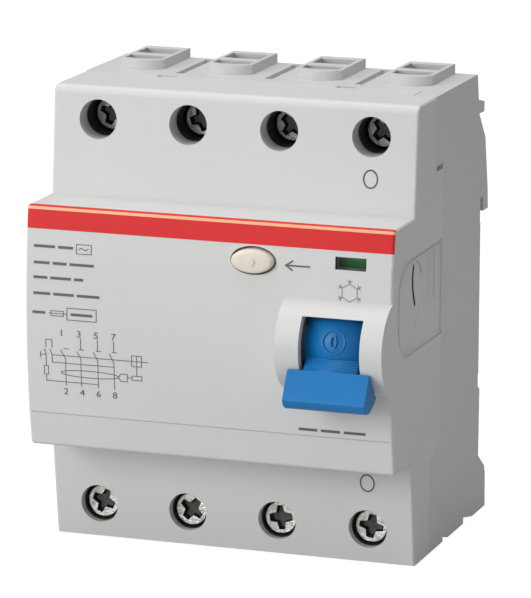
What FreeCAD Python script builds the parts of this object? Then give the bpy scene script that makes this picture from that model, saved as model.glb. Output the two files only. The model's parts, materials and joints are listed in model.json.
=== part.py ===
import FreeCAD, Part
import os
import Sketcher
from FreeCAD import Placement, Rotation, Vector

# Four-pole residual current device for a 35 mm top-hat rail.
# Frame: X to the right, +Z up, the front faces -Y. The origin is the centre of the rail seat,
# so a "depth" is the distance of a plane in front of the rail, measured along -Y.

doc = FreeCAD.newDocument("ResidualCurrentDevice")
sheet = doc.addObject("Spreadsheet::Sheet", "Size")

DIMENSIONS = (
    # housing
    ("pole_pitch", 17.5),
    ("half_width", 35.0),
    ("half_height", 42.5),
    ("wall", 1.8),
    ("nose_depth", 53.0),
    ("nose_half", 22.5),
    ("nose_crown_radius", 154.0),
    ("nose_crease_height", -15.9),
    ("nose_foot_depth", 52.3),
    ("nose_inner_depth", 51.0),
    ("shoulder_outer_depth", 39.6),
    ("shoulder_inner_depth", 41.2),
    ("seam_depth", 24.0),
    ("seam_upper_depth", 29.0),
    ("seam_lower_depth", 30.5),
    ("seam_upper_height", 29.5),
    ("seam_lower_height", -25.2),
    ("seam_step_height", -22.0),
    ("seam_gap", 0.12),
    ("corner_tab_width", 4.5),
    ("terminal_wall_depth", 4.6),
    ("middle_wall_depth", 2.2),
    ("terminal_zone_height", 23.0),
    ("barrier_thickness", 1.6),
    ("barrier_front_depth", 38.2),
    ("chamber_depth", 13.6),
    ("chamber_height", 8.0),
    ("edge_round", 0.5),
    ("panel_depth", 0.3),
    ("panel_back", 24.6),
    ("panel_front", 50.9),
    ("panel_top", 15.8),
    ("panel_bottom", -2.2),
    ("latch_slot_half", 0.45),
    ("cover_notch_half", 1.9),
    ("cover_notch_shift", 1.0),
    ("cover_notch_length", 1.5),
    ("brow_round", 1.6),
    ("nose_round", 0.9),
    # rail side
    ("rail_half", 17.7),
    ("seat_top", 14.0),
    ("seat_bottom", -15.4),
    ("seat_relief", 0.3),
    ("hook_gap", 1.7),
    ("hook_bottom", 15.8),
    ("hook_pocket_top", 18.6),
    ("hook_back", 4.9),
    ("foot_back", 5.5),
    ("foot_top", -31.5),
    ("grip_tooth_depth", 8.8),
    ("grip_tooth_back", 3.1),
    ("grip_tooth_rise", 1.2),
    ("grip_tooth_front", 22.1),
    ("grip_tooth_step", 18.8),
    # cable entries
    ("boss_rise", 1.8),
    ("boss_half", 4.4),
    ("boss_front", 21.0),
    ("boss_back", 3.2),
    ("boss_shoulder", 17.6),
    ("port_half", 3.6),
    ("cable_port_front", 18.1),
    ("cable_port_back", 13.7),
    ("fork_port_front", 11.0),
    ("fork_port_back", 5.5),
    ("groove_half", 0.75),
    ("groove_bottom", 1.2),
    # terminal screws and clamps
    ("upper_screw_height", 36.5),
    ("lower_screw_height", -36.1),
    ("upper_head_depth", 33.0),
    ("lower_head_depth", 38.2),
    ("screw_tube_radius", 4.9),
    ("screw_hole_radius", 3.65),
    ("head_radius", 3.2),
    ("head_thick", 2.8),
    ("ledge_thick", 1.2),
    ("shank_radius", 2.0),
    ("shank_hole_radius", 2.35),
    ("drive_slot", 1.0),
    ("drive_cross", 0.8),
    ("drive_cross_length", 3.6),
    ("drive_bottom", 1.5),
    ("clamp_front", 22.6),
    ("clamp_back", 5.0),
    ("clamp_half_width", 4.9),
    ("clamp_half_height", 4.1),
    ("clamp_window_half", 4.0),
    ("clamp_nut", 2.0),
    ("clamp_bar", 1.4),
    ("thread_clearance", 0.06),
    # current path
    ("tongue_front", 19.4),
    ("strip_thick", 1.2),
    ("tongue_half", 3.5),
    ("tongue_end", 40.0),
    ("fixed_strip_half", 2.5),
    ("fixed_strip_front", 12.8),
    ("fixed_strip_shelf", 24.0),
    ("fixed_strip_bottom", 13.6),
    ("contact_height", 17.2),
    ("contact_button", 1.4),
    ("contact_button_rise", 1.1),
    ("rotor_depth", 20.0),
    ("rotor_height", 3.0),
    ("rotor_lean", 14.0),
    ("rotor_radius", 3.2),
    ("rotor_half", 32.8),
    ("rotor_pin_radius", 1.25),
    ("pin_clearance", 0.05),
    ("holder_half", 2.4),
    ("holder_top", 6.5),
    ("arm_half", 1.5),
    ("arm_top", 16.0),
    ("crank_reach", 9.0),
    ("crank_left", 31.7),
    ("crank_right", 32.7),
    # transformer
    ("core_depth", 16.0),
    ("core_height", -10.0),
    ("core_radius", 12.0),
    ("core_hole", 6.6),
    ("core_thick", 9.0),
    ("winding_layer", 1.0),
    ("winding_turn", 300.0),
    ("wire_radius", 1.1),
    ("wire_spread", 1.7),
    # toggle and its mechanism
    ("lever_x", 25.2),
    ("pivot_depth", 51.5),
    ("pivot_height", 1.0),
    ("collar_radius", 8.6),
    ("collar_depth", 52.0),
    ("collar_left", 15.0),
    ("collar_cavity", 7.0),
    ("slot_half", 5.7),
    ("slot_up", 6.0),
    ("slot_down", 7.4),
    ("drum_radius", 6.4),
    ("drum_half", 5.4),
    ("neck_half", 5.0),
    ("paddle_half", 7.75),
    ("paddle_clear_radius", 9.4),
    ("toggle_pin_radius", 1.25),
    ("link_pin_radius", 0.7),
    ("link_arm", 4.5),
    ("frame_plate", 1.0),
    ("frame_left", 17.6),
    ("frame_right", 31.8),
    ("frame_rear_depth", 30.5),
    ("frame_web_height", -9.4),
    ("latch_depth", 42.0),
    ("latch_height", -2.0),
    ("latch_pin_radius", 1.0),
    ("relay_front", 47.0),
    ("relay_back", 31.0),
    ("relay_bottom", -20.2),
    ("relay_top", -10.4),
    ("relay_half", 6.6),
    ("plunger_depth", 38.0),
    ("plunger_radius", 1.2),
    ("plunger_top", -8.7),
    # indicator and test button
    ("window_left", 24.1),
    ("window_right", 29.9),
    ("window_bottom", 14.9),
    ("window_top", 17.2),
    ("lens_front", 53.45),
    ("lens_back", 52.2),
    ("flag_depth", 47.6),
    ("flag_height", 16.05),
    ("flag_radius", 2.9),
    ("flag_left", 23.4),
    ("flag_right", 30.6),
    ("flag_axle_radius", 0.8),
    ("button_x", 8.7),
    ("button_z", 15.4),
    ("button_wide", 4.05),
    ("button_tall", 2.3),
    ("button_gap", 0.3),
    ("button_front", 55.2),
    ("button_flange_front", 50.9),
    ("button_flange_back", 50.0),
    ("button_flange_extra", 0.9),
    ("button_stem_radius", 1.3),
    ("button_stem_end", 45.8),
    ("test_block_front", 46.0),
    ("test_block_back", 40.0),
    ("test_strip_depth", 44.0),
    # rail clips
    ("clip_half", 5.8),
    ("clip_channel_half", 6.1),
    ("clip_front", 1.2),
    ("clip_back", 3.2),
    ("clip_nose_back", 3.9),
    ("clip_nose_top", -15.7),
    ("clip_nose_bottom", -18.5),
    ("clip_end", -42.3),
    ("clip_clearance", 0.25),
)
for row_number, (alias, value) in enumerate(DIMENSIONS, start=1):
    cell = "A" + str(row_number)
    sheet.set(cell, str(value))
    sheet.setAlias(cell, alias)
doc.recompute()

POLES = (1, 2, 3, 4)
SIDES = ("upper", "lower")
ALONG_X = Rotation(Vector(0, 1, 0), 90)
ALONG_FRONT = Rotation(Vector(1, 0, 0), 90)
UPRIGHT = Rotation()

nodes = {}


def size(alias):
    """A number from the sheet, in millimetres or degrees."""
    return sheet.get(alias)


def pole_x(pole):
    """Expression for the centre plane of a pole, counted from the left."""
    return "(" + str(pole) + " - 2.5) * Size.pole_pitch"


def as_node(thing, name):
    """Name a finished sub-part, which also names its file."""
    thing.Label = name
    nodes[name] = thing
    return thing


# ---- sketches and features -------------------------------------------------------------

def new_body(name, x="0", y="0", z="0"):
    body = doc.addObject("PartDesign::Body", name)
    body.setExpression("Placement.Base.x", x)
    body.setExpression("Placement.Base.y", y)
    body.setExpression("Placement.Base.z", z)
    return body


def new_sketch(body, name, role, offset):
    """An empty sketch on an origin plane, moved along the plane's normal."""
    drawing = body.newObject("Sketcher::SketchObject", name)
    plane = [item for item in body.Origin.OriginFeatures if item.Role == role][0]
    drawing.AttachmentSupport = (plane, [""])
    drawing.MapMode = "FlatFace"
    drawing.setExpression("AttachmentOffset.Base.z", offset)
    return drawing


def constrain(drawing, fixed, driven):
    """Add all constraints at once; each driven one is followed by its expression."""
    first = len(fixed)
    drawing.addConstraint(fixed + [constraint for constraint, expression in driven])
    for index, (constraint, expression) in enumerate(driven, start=first):
        drawing.setExpression("Constraints[" + str(index) + "]", expression)


def end_of(drawing, edge, point):
    """1 for the start and 2 for the end of an edge, whichever lies on the point."""
    start = drawing.Geometry[edge].StartPoint
    return 1 if (start - point).Length < 1e-6 else 2


def arc_middle(start, end, radius):
    """Middle of an arc that bulges to the right of start-to-end, or left if radius < 0."""
    chord = end - start
    half = chord.Length / 2
    sagitta = abs(radius) - (radius ** 2 - half ** 2) ** 0.5
    right = Vector(chord.y, -chord.x, 0).normalize()
    side = 1 if radius > 0 else -1
    return (start + end) * 0.5 + right * sagitta * side


def outline(body, name, role, offset, corners):
    """Closed outline. A corner is (across, up), or (across, up, radius) before an arc."""
    drawing = new_sketch(body, name, role, offset)
    points = []
    for corner in corners:
        across = float(drawing.evalExpression(corner[0]))
        up = float(drawing.evalExpression(corner[1]))
        points.append(Vector(across, up, 0))
    count = len(points)
    for edge in range(count):
        start = points[edge]
        end = points[(edge + 1) % count]
        if len(corners[edge]) == 3:
            radius = float(drawing.evalExpression(corners[edge][2]))
            drawing.addGeometry(Part.Arc(start, arc_middle(start, end, radius), end))
        else:
            drawing.addGeometry(Part.LineSegment(start, end))
    joints = []
    for edge in range(count):
        after = (edge + 1) % count
        joint = points[after]
        ends = (edge, end_of(drawing, edge, joint), after, end_of(drawing, after, joint))
        joints.append(Sketcher.Constraint("Coincident", *ends))
    places = []
    for edge, corner in enumerate(corners):
        point = points[edge]
        end = end_of(drawing, edge, point)
        across = Sketcher.Constraint("DistanceX", -1, 1, edge, end, point.x)
        up = Sketcher.Constraint("DistanceY", -1, 1, edge, end, point.y)
        places += [(across, corner[0]), (up, corner[1])]
        if len(corner) == 3:
            bend = Sketcher.Constraint("Radius", edge, drawing.Geometry[edge].Radius)
            places.append((bend, "abs(" + corner[2] + ")"))
    constrain(drawing, joints, places)
    return drawing


def rectangle(body, name, role, offset, left, right, bottom, top):
    corners = [(left, bottom), (right, bottom), (right, top), (left, top)]
    return outline(body, name, role, offset, corners)


def circles(body, name, role, offset, centres, radius):
    drawing = new_sketch(body, name, role, offset)
    places = []
    for index, (across, up) in enumerate(centres):
        x = float(drawing.evalExpression(across))
        y = float(drawing.evalExpression(up))
        r = float(drawing.evalExpression(radius))
        drawing.addGeometry(Part.Circle(Vector(x, y, 0), Vector(0, 0, 1), r))
        places += [
            (Sketcher.Constraint("DistanceX", -1, 1, index, 3, x), across),
            (Sketcher.Constraint("DistanceY", -1, 1, index, 3, y), up),
            (Sketcher.Constraint("Radius", index, r), radius),
        ]
    constrain(drawing, [], places)
    return drawing


def feature(body, kind, name, drawing, length, side):
    made = body.newObject("PartDesign::" + kind, name)
    made.Profile = drawing
    made.SideType = side
    made.setExpression("Length", length)
    drawing.Visibility = False
    return made


def pad(body, name, drawing, length, side="Symmetric"):
    """Add material, symmetrically or along the sketch's normal."""
    return feature(body, "Pad", name, drawing, length, side)


def pocket(body, name, drawing, length, side="Symmetric"):
    """Remove material, symmetrically or against the sketch's normal."""
    return feature(body, "Pocket", name, drawing, length, side)


def round_edges(body, name, base, radius, chosen):
    """Fillet the edges of a feature that the test picks."""
    doc.recompute()
    picked = []
    for number, edge in enumerate(base.Shape.Edges, start=1):
        if chosen(edge):
            picked.append("Edge" + str(number))
    fillet = body.newObject("PartDesign::Fillet", name)
    fillet.Base = (base, picked)
    fillet.setExpression("Radius", radius)
    return fillet


# ---- primitives and booleans -----------------------------------------------------------

def place(thing, x, y, z, rotation=UPRIGHT):
    thing.Placement = Placement(Vector(0, 0, 0), rotation)
    thing.setExpression("Placement.Base.x", x)
    thing.setExpression("Placement.Base.y", y)
    thing.setExpression("Placement.Base.z", z)
    return thing


def block(name, left, right, front, back, bottom, top):
    """Box between six planes; front and back are depths in front of the rail."""
    made = doc.addObject("Part::Box", name)
    made.setExpression("Length", "(" + right + ") - (" + left + ")")
    made.setExpression("Width", "(" + front + ") - (" + back + ")")
    made.setExpression("Height", "(" + top + ") - (" + bottom + ")")
    return place(made, left, "-(" + front + ")", bottom)


def rod(name, x, y, z, radius, length, rotation):
    """Cylinder from a point, along X, towards the front or upright."""
    made = doc.addObject("Part::Cylinder", name)
    made.setExpression("Radius", radius)
    made.setExpression("Height", length)
    return place(made, x, y, z, rotation)


def fuse(name, pieces):
    made = doc.addObject("Part::MultiFuse", name)
    made.Shapes = pieces
    return made


def cut(name, base, tools):
    made = doc.addObject("Part::Cut", name)
    made.Base = base
    made.Tool = tools[0] if len(tools) == 1 else fuse(name + "_tools", tools)
    return made


def coil(name, x, y, z, rotation, radius, wire, pitch, length):
    """Round-wire spring wound about its own axis."""
    path = doc.addObject("Part::Helix", name + "_path")
    path.Radius = radius
    path.Pitch = pitch
    path.Height = length
    section = doc.addObject("Part::Circle", name + "_section")
    section.Radius = wire
    section.Placement = Placement(Vector(radius, 0, 0), Rotation(Vector(1, 0, 0), 90))
    made = doc.addObject("Part::Sweep", name)
    made.Sections = [section]
    made.Spine = (path, ["Edge1"])
    made.Solid = True
    made.Frenet = True
    return place(made, x, y, z, rotation)


def bent_wire(name, points, radius):
    """Round conductor through straight runs, with ball joints at its bends."""
    pieces = []
    for start, end in zip(points, points[1:]):
        run = end - start
        pieces.append(Part.makeCylinder(radius, run.Length, start, run))
    for corner in points[1:-1]:
        pieces.append(Part.makeSphere(radius, corner))
    made = doc.addObject("Part::Feature", name)
    made.Shape = pieces[0].fuse(pieces[1:])
    return made


# ---- front cover -----------------------------------------------------------------------

def make_front_cover():
    body = new_body("cover")
    skin = [
        ("-Size.seam_depth", "Size.half_height"),
        ("-Size.shoulder_outer_depth", "Size.half_height"),
        ("-Size.shoulder_inner_depth", "Size.nose_half"),
        ("-Size.nose_depth", "Size.nose_half", "Size.nose_crown_radius"),
        ("-Size.nose_depth - 0.4", "Size.nose_crease_height"),
        ("-Size.nose_foot_depth", "-Size.nose_half"),
        ("-Size.shoulder_inner_depth - 1", "-Size.nose_half"),
        ("-Size.shoulder_outer_depth", "-Size.half_height"),
        ("-Size.seam_lower_depth", "-Size.half_height"),
        ("-Size.seam_lower_depth", "Size.seam_lower_height"),
        ("-Size.seam_depth", "Size.seam_step_height"),
    ]
    profile = outline(body, "cover_profile", "YZ_Plane", "0", skin)
    outer = pad(body, "cover_outer", profile, "2 * Size.half_width")

    def is_brow(edge):
        return crosswise(edge) and edge.CenterOfMass.z > size("half_height") - 0.1 \
            and edge.CenterOfMass.y < -size("seam_depth") - 1

    def is_nose_rim(edge):
        return crosswise(edge) and abs(abs(edge.CenterOfMass.z) - size("nose_half")) < 0.1 \
            and edge.CenterOfMass.y < -size("nose_depth") + 2

    brow = round_edges(body, "cover_brow", outer, "Size.brow_round", is_brow)
    rim = round_edges(body, "cover_nose_rim", brow, "Size.nose_round", is_nose_rim)

    def is_side(edge):
        middle = edge.CenterOfMass
        at_side = abs(abs(middle.x) - size("half_width")) < 0.01
        return at_side and not crosswise(edge) and middle.y < -size("seam_lower_depth") - 1 \
            and abs(middle.z) < size("half_height") - 0.01

    last = round_edges(body, "cover_side_edges", rim, "Size.edge_round", is_side)
    # raised collar round the toggle
    centre = "(Size.collar_left + Size.half_width) / 2"
    ring = circles(body, "collar_ring", "YZ_Plane", centre,
                   [("-Size.collar_depth", "Size.pivot_height")], "Size.collar_radius")
    pad(body, "collar", ring, "Size.half_width - Size.collar_left")
    # hollow of the shell
    inside = "-Size.seam_depth + Size.wall"
    hollow = [
        (inside, "Size.half_height - Size.wall"),
        ("-Size.barrier_front_depth", "Size.half_height - Size.wall"),
        ("-Size.shoulder_inner_depth + Size.wall", "Size.nose_half - Size.wall"),
        ("-Size.nose_inner_depth", "Size.nose_half - Size.wall"),
        ("-Size.nose_inner_depth", "-Size.nose_half + Size.wall"),
        ("-Size.shoulder_inner_depth + 0.8", "-Size.nose_half + Size.wall"),
        ("-Size.barrier_front_depth", "-Size.half_height + Size.wall"),
        (inside, "-Size.half_height + Size.wall"),
    ]
    profile = outline(body, "cover_hollow_profile", "YZ_Plane", "0", hollow)
    pocket(body, "cover_hollow", profile, "2 * (Size.half_width - Size.wall)")
    cavity = circles(body, "collar_cavity", "YZ_Plane", centre,
                     [("-Size.collar_depth", "Size.pivot_height")], "Size.collar_cavity")
    pocket(body, "collar_hollow", cavity, "Size.half_width - Size.collar_left - 2 * Size.wall")
    slot = rectangle(body, "slot_profile", "XZ_Plane", "Size.nose_depth + 12",
                     "Size.lever_x - Size.slot_half", "Size.lever_x + Size.slot_half",
                     "Size.pivot_height - Size.slot_down", "Size.pivot_height + Size.slot_up")
    pocket(body, "toggle_slot", slot, "16", "One side")
    window = rectangle(body, "window_profile", "XZ_Plane", "Size.nose_depth + 6",
                       "Size.window_left", "Size.window_right",
                       "Size.window_bottom", "Size.window_top")
    pocket(body, "indicator_opening", window, "10", "One side")
    # corner at the upper right, where the base reaches round to the front
    tab = rectangle(body, "tab_profile", "XY_Plane", "Size.seam_upper_height",
                    "Size.half_width - Size.corner_tab_width", "Size.half_width + 1",
                    "-Size.seam_upper_depth", "-Size.seam_depth + 2")
    cut_corner = pocket(body, "corner_cut", tab, "Size.half_height", "One side")
    cut_corner.Reversed = True
    # shallow panel on the right side, rounded towards the front
    reach = "Size.panel_front"
    panel = [
        ("-Size.panel_back", "Size.panel_top"),
        ("-" + reach + " + 4.5", "Size.panel_top", "4.6"),
        ("-" + reach, "Size.panel_top - 4.6"),
        ("-" + reach, "Size.pivot_height + 2.4", "7"),
        ("-" + reach + " + 5", "Size.panel_bottom"),
        ("-Size.panel_back", "Size.panel_bottom"),
    ]
    drawing = outline(body, "panel_profile", "YZ_Plane", "Size.half_width + 1", panel)
    pocket(body, "side_panel", drawing, "1 + Size.panel_depth", "One side")
    # slot for the cover's snap, beside the tab, and notches along the upper seam
    slot = rectangle(body, "snap_profile", "YZ_Plane", "Size.half_width + 1",
                     "-Size.seam_upper_depth + 0.4", "-Size.seam_depth - 0.6",
                     "Size.seam_upper_height - 2 * Size.latch_slot_half",
                     "Size.seam_upper_height")
    pocket(body, "snap_slot", slot, "1.9", "One side")
    for number, offset in enumerate(("-Size.pole_pitch", "Size.pole_pitch"), start=1):
        drawing = rectangle(body, "notch_profile_" + str(number), "XY_Plane",
                            "Size.half_height + 1",
                            offset + " - Size.cover_notch_shift - Size.cover_notch_half",
                            offset + " - Size.cover_notch_shift + Size.cover_notch_half",
                            "-Size.seam_depth - Size.cover_notch_length", "-Size.seam_depth + 1")
        pocket(body, "seam_notch_" + str(number), drawing, "2", "One side")
    # barriers between the terminals
    for number, offset in enumerate(("-Size.pole_pitch", "0", "Size.pole_pitch"), start=1):
        for side, sign in (("upper", ""), ("lower", "-")):
            zone = [sign + "Size.terminal_zone_height", sign + "(Size.half_height - Size.wall)"]
            zone.sort(key=lambda term: body.evalExpression(term))
            back = "Size.seam_depth" if side == "upper" else "Size.seam_lower_depth"
            name = "cover_barrier_" + side + str(number)
            wall = rectangle(body, name + "_profile", "YZ_Plane", offset,
                             "-Size.barrier_front_depth - 0.6", "-" + back, zone[0], zone[1])
            pad(body, name, wall, "Size.barrier_thickness")
    # screw tubes: a head pocket, a ledge below it and the shank's hole
    for side in SIDES:
        height = "Size." + side + "_screw_height"
        head = "Size." + side + "_head_depth"
        centres = [(pole_x(pole), height) for pole in POLES]
        floor = head + " - Size.head_thick - Size.ledge_thick"
        tube = circles(body, side + "_tube_rings", "XZ_Plane", floor, centres,
                       "Size.screw_tube_radius")
        pad(body, side + "_tubes", tube, "Size.shoulder_outer_depth - 0.6 - (" + floor + ")",
            "One side")
        top = "Size.nose_depth"
        bore = circles(body, side + "_head_rings", "XZ_Plane", top, centres,
                       "Size.screw_hole_radius")
        pocket(body, side + "_head_holes", bore,
               "Size.nose_depth - " + head + " + Size.head_thick + 0.1", "One side")
        bore = circles(body, side + "_shank_rings", "XZ_Plane", top, centres,
                       "Size.shank_hole_radius")
        pocket(body, side + "_shank_holes", bore, "Size.nose_depth - Size.seam_depth",
               "One side")
    # oval hole for the test button
    oval = doc.addObject("Part::Ellipse", "button_hole_rim")
    oval.setExpression("MajorRadius", "Size.button_wide + Size.button_gap")
    oval.setExpression("MinorRadius", "Size.button_tall + Size.button_gap")
    place(oval, "Size.button_x", "-Size.nose_inner_depth + 1", "Size.button_z", ALONG_FRONT)
    drill = doc.addObject("Part::Extrusion", "button_hole")
    drill.Base = oval
    drill.Dir = Vector(0, -1, 0)
    drill.setExpression("LengthFwd", "Size.wall * 4")
    drill.Solid = True
    as_node(cut("front_cover", body, [drill]), "front_cover")


def crosswise(edge):
    """True for a straight edge along X."""
    if len(edge.Vertexes) != 2:
        return False
    run = edge.Vertexes[1].Point - edge.Vertexes[0].Point
    return abs(run.y) + abs(run.z) < 1e-6 and edge.Length > 1


# ---- rear base -------------------------------------------------------------------------

def make_rear_base():
    body = new_body("rear_base")
    skin = [
        ("-Size.seam_depth + Size.seam_gap", "Size.half_height"),
        ("-Size.seam_depth + Size.seam_gap", "Size.seam_step_height"),
        ("-Size.seam_lower_depth + Size.seam_gap", "Size.seam_lower_height - Size.seam_gap"),
        ("-Size.seam_lower_depth + Size.seam_gap", "-Size.half_height"),
        ("-Size.grip_tooth_front", "-Size.half_height"),
        ("-Size.grip_tooth_front", "-Size.half_height + Size.grip_tooth_rise"),
        ("-Size.grip_tooth_step", "-Size.half_height"),
        ("-Size.grip_tooth_depth", "-Size.half_height"),
        ("-Size.grip_tooth_depth", "-Size.half_height + Size.grip_tooth_rise"),
        ("-Size.grip_tooth_back", "-Size.half_height"),
        ("Size.foot_back", "-Size.half_height"),
        ("Size.foot_back - 0.2", "-Size.half_height + 6.6"),
        ("Size.foot_back - 0.9", "Size.foot_top - 2.8"),
        ("0.6", "Size.foot_top"),
        ("0.9", "-Size.rail_half - 0.8"),
        ("-Size.seat_relief", "-Size.rail_half"),
        ("-Size.seat_relief", "Size.seat_bottom"),
        ("0", "Size.seat_bottom"),
        ("0", "Size.seat_top"),
        ("-Size.seat_relief", "Size.seat_top"),
        ("-Size.seat_relief", "Size.hook_pocket_top"),
        ("Size.hook_gap", "Size.hook_pocket_top"),
        ("Size.hook_gap", "Size.hook_bottom"),
        ("Size.hook_back", "Size.hook_bottom"),
        ("Size.hook_back - 0.4", "Size.hook_bottom + 4.2"),
        ("2.6", "29.8"),
        ("-1.6", "34.9"),
        ("1.7", "34.8"),
        ("1.6", "36.8"),
        ("-2.1", "37.6"),
        ("-3.0", "Size.half_height"),
    ]
    profile = outline(body, "base_profile", "YZ_Plane", "0", skin)
    pad(body, "base_outer", profile, "2 * Size.half_width")
    tab = rectangle(body, "base_tab_profile", "XY_Plane", "Size.seam_upper_height + Size.seam_gap",
                    "Size.half_width - Size.corner_tab_width + Size.seam_gap", "Size.half_width",
                    "-Size.seam_upper_depth + Size.seam_gap", "-Size.seam_depth + 1")
    pad(body, "base_tab", tab, "Size.half_height - Size.seam_upper_height - Size.seam_gap",
        "One side")
    hollow = [
        ("-Size.seam_lower_depth - 1", "Size.half_height - Size.wall"),
        ("-Size.seam_lower_depth - 1", "-Size.half_height + Size.wall"),
        ("-Size.terminal_wall_depth", "-Size.half_height + Size.wall"),
        ("-Size.terminal_wall_depth", "-Size.terminal_zone_height - 1"),
        ("-Size.middle_wall_depth", "-Size.terminal_zone_height + 1"),
        ("-Size.middle_wall_depth", "Size.terminal_zone_height - 1"),
        ("-Size.terminal_wall_depth", "Size.terminal_zone_height + 1"),
        ("-Size.terminal_wall_depth", "Size.half_height - Size.wall"),
    ]
    profile = outline(body, "base_hollow_profile", "YZ_Plane", "0", hollow)
    pocket(body, "base_hollow", profile, "2 * (Size.half_width - Size.wall)")
    # raised bosses round the upper cable entries, rounded towards the front
    for pole in POLES:
        centre = pole_x(pole)
        left = centre + " - Size.boss_half"
        right = centre + " + Size.boss_half"
        corners = [
            (left, "-Size.boss_shoulder", "Size.boss_half * 1.3"),
            (right, "-Size.boss_shoulder"),
            (right, "-Size.boss_back"),
            (left, "-Size.boss_back"),
        ]
        name = "entry_boss_" + str(pole)
        drawing = outline(body, name + "_profile", "XY_Plane", "Size.half_height", corners)
        pad(body, name, drawing, "Size.boss_rise", "One side")
    # cable and fork ports through the top and the bottom
    for side, start in (("upper", "Size.half_height + 3"), ("lower", "-Size.half_height + 6")):
        for pole in POLES:
            centre = pole_x(pole)
            left = centre + " - Size.port_half"
            right = centre + " + Size.port_half"
            name = side + "_cable_port_" + str(pole)
            corners = [
                (left, "-Size.cable_port_front + 1.2", "Size.port_half * 3"),
                (right, "-Size.cable_port_front + 1.2"),
                (right, "-Size.cable_port_back"),
                (left, "-Size.cable_port_back"),
            ]
            drawing = outline(body, name + "_profile", "XY_Plane", start, corners)
            pocket(body, name, drawing, "8", "One side")
            name = side + "_fork_port_" + str(pole)
            drawing = rectangle(body, name + "_profile", "XY_Plane", start, left, right,
                                "-Size.fork_port_front", "-Size.fork_port_back")
            pocket(body, name, drawing, "8", "One side")
    # grooves and barriers between the poles
    for number, offset in enumerate(("-Size.pole_pitch", "0", "Size.pole_pitch"), start=1):
        drawing = rectangle(body, "groove_profile_" + str(number), "XY_Plane",
                            "Size.half_height + 1", offset + " - Size.groove_half",
                            offset + " + Size.groove_half", "-Size.boss_front", "-4.4")
        pocket(body, "groove_" + str(number), drawing, "1 + Size.groove_bottom", "One side")
        for side, sign in (("upper", ""), ("lower", "-")):
            zone = [sign + "Size.terminal_zone_height", sign + "(Size.half_height - Size.wall)"]
            zone.sort(key=lambda term: body.evalExpression(term))
            name = "base_barrier_" + side + str(number)
            wall = rectangle(body, name + "_profile", "YZ_Plane", offset,
                             "-Size.seam_depth + Size.seam_gap", "-Size.middle_wall_depth",
                             zone[0], zone[1])
            pad(body, name, wall, "Size.barrier_thickness")
        name = "chamber_wall_" + str(number)
        wall = rectangle(body, name + "_profile", "YZ_Plane", offset, "-Size.chamber_depth",
                         "-Size.middle_wall_depth + 0.5", "Size.chamber_height",
                         "Size.terminal_zone_height + 0.5")
        pad(body, name, wall, "Size.barrier_thickness")
    # channels for the two rail clips, through the foot
    for number, offset in enumerate(("-Size.pole_pitch", "Size.pole_pitch"), start=1):
        drawing = rectangle(body, "channel_profile_" + str(number), "XY_Plane",
                            "Size.foot_top + 2", offset + " - Size.clip_channel_half",
                            offset + " + Size.clip_channel_half",
                            "Size.clip_front - Size.clip_clearance",
                            "Size.clip_back + Size.clip_clearance")
        pocket(body, "clip_channel_" + str(number), drawing, "16", "One side")
    # blind seats for the contact shaft's pin
    drawing = circles(body, "rotor_seat_ring", "YZ_Plane", "0",
                      [("-Size.rotor_depth", "Size.rotor_height")], "Size.rotor_pin_radius + 0.01")
    pocket(body, "rotor_seats", drawing, "2 * (Size.half_width - 0.8)")
    as_node(body, "rear_base")


# ---- terminals and current path --------------------------------------------------------

def make_terminals():
    for side in SIDES:
        for pole in POLES:
            make_screw(side, pole)
            make_clamp(side, pole)


def make_screw(side, pole):
    """Combination-head screw: it turns in the cover and drives its clamp."""
    name = "terminal_screw_" + side + "_" + str(pole)
    x = pole_x(pole)
    z = "Size." + side + "_screw_height"
    head_depth = "Size." + side + "_head_depth"
    head = rod(name + "_head", x, "-" + head_depth + " + Size.head_thick", z,
               "Size.head_radius", "Size.head_thick", ALONG_FRONT)
    length = head_depth + " - Size.head_thick - Size.tongue_front - 0.3"
    shank = rod(name + "_shank", x, "-Size.tongue_front - 0.3", z, "Size.shank_radius",
                length + " + 0.5", ALONG_FRONT)
    solid = fuse(name + "_solid", [head, shank])
    reach = "Size.head_radius + 0.5"
    top = head_depth + " + 0.5"
    floor = head_depth + " - Size.drive_bottom"
    half = "Size.drive_slot / 2"
    slot = block(name + "_slot", x + " - " + reach, x + " + " + reach, top,
                 head_depth + " - 1.0", z + " - " + half, z + " + " + half)
    half = "Size.drive_cross / 2"
    long_half = "Size.drive_cross_length / 2"
    across = block(name + "_cross_a", x + " - " + long_half, x + " + " + long_half, top, floor,
                   z + " - " + half, z + " + " + half)
    upright = block(name + "_cross_b", x + " - " + half, x + " + " + half, top, floor,
                    z + " - " + long_half, z + " + " + long_half)
    as_node(cut(name, solid, [slot, across, upright]), name)


def make_clamp(side, pole):
    """Rising cage: a nut plate on the screw, two cheeks and a bar behind the wires."""
    name = "cage_clamp_" + side + "_" + str(pole)
    x = pole_x(pole)
    z = "Size." + side + "_screw_height"
    cage = block(name + "_cage", x + " - Size.clamp_half_width", x + " + Size.clamp_half_width",
                 "Size.clamp_front", "Size.clamp_back", z + " - Size.clamp_half_height",
                 z + " + Size.clamp_half_height")
    window = block(name + "_window", x + " - Size.clamp_window_half",
                   x + " + Size.clamp_window_half", "Size.clamp_front - Size.clamp_nut",
                   "Size.clamp_back + Size.clamp_bar", z + " - Size.clamp_half_height - 1",
                   z + " + Size.clamp_half_height + 1")
    thread = rod(name + "_thread", x, "-Size.clamp_front + Size.clamp_nut + 0.5", z,
                 "Size.shank_radius + Size.thread_clearance", "Size.clamp_nut + 1", ALONG_FRONT)
    as_node(cut(name, cage, [window, thread]), name)


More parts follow.
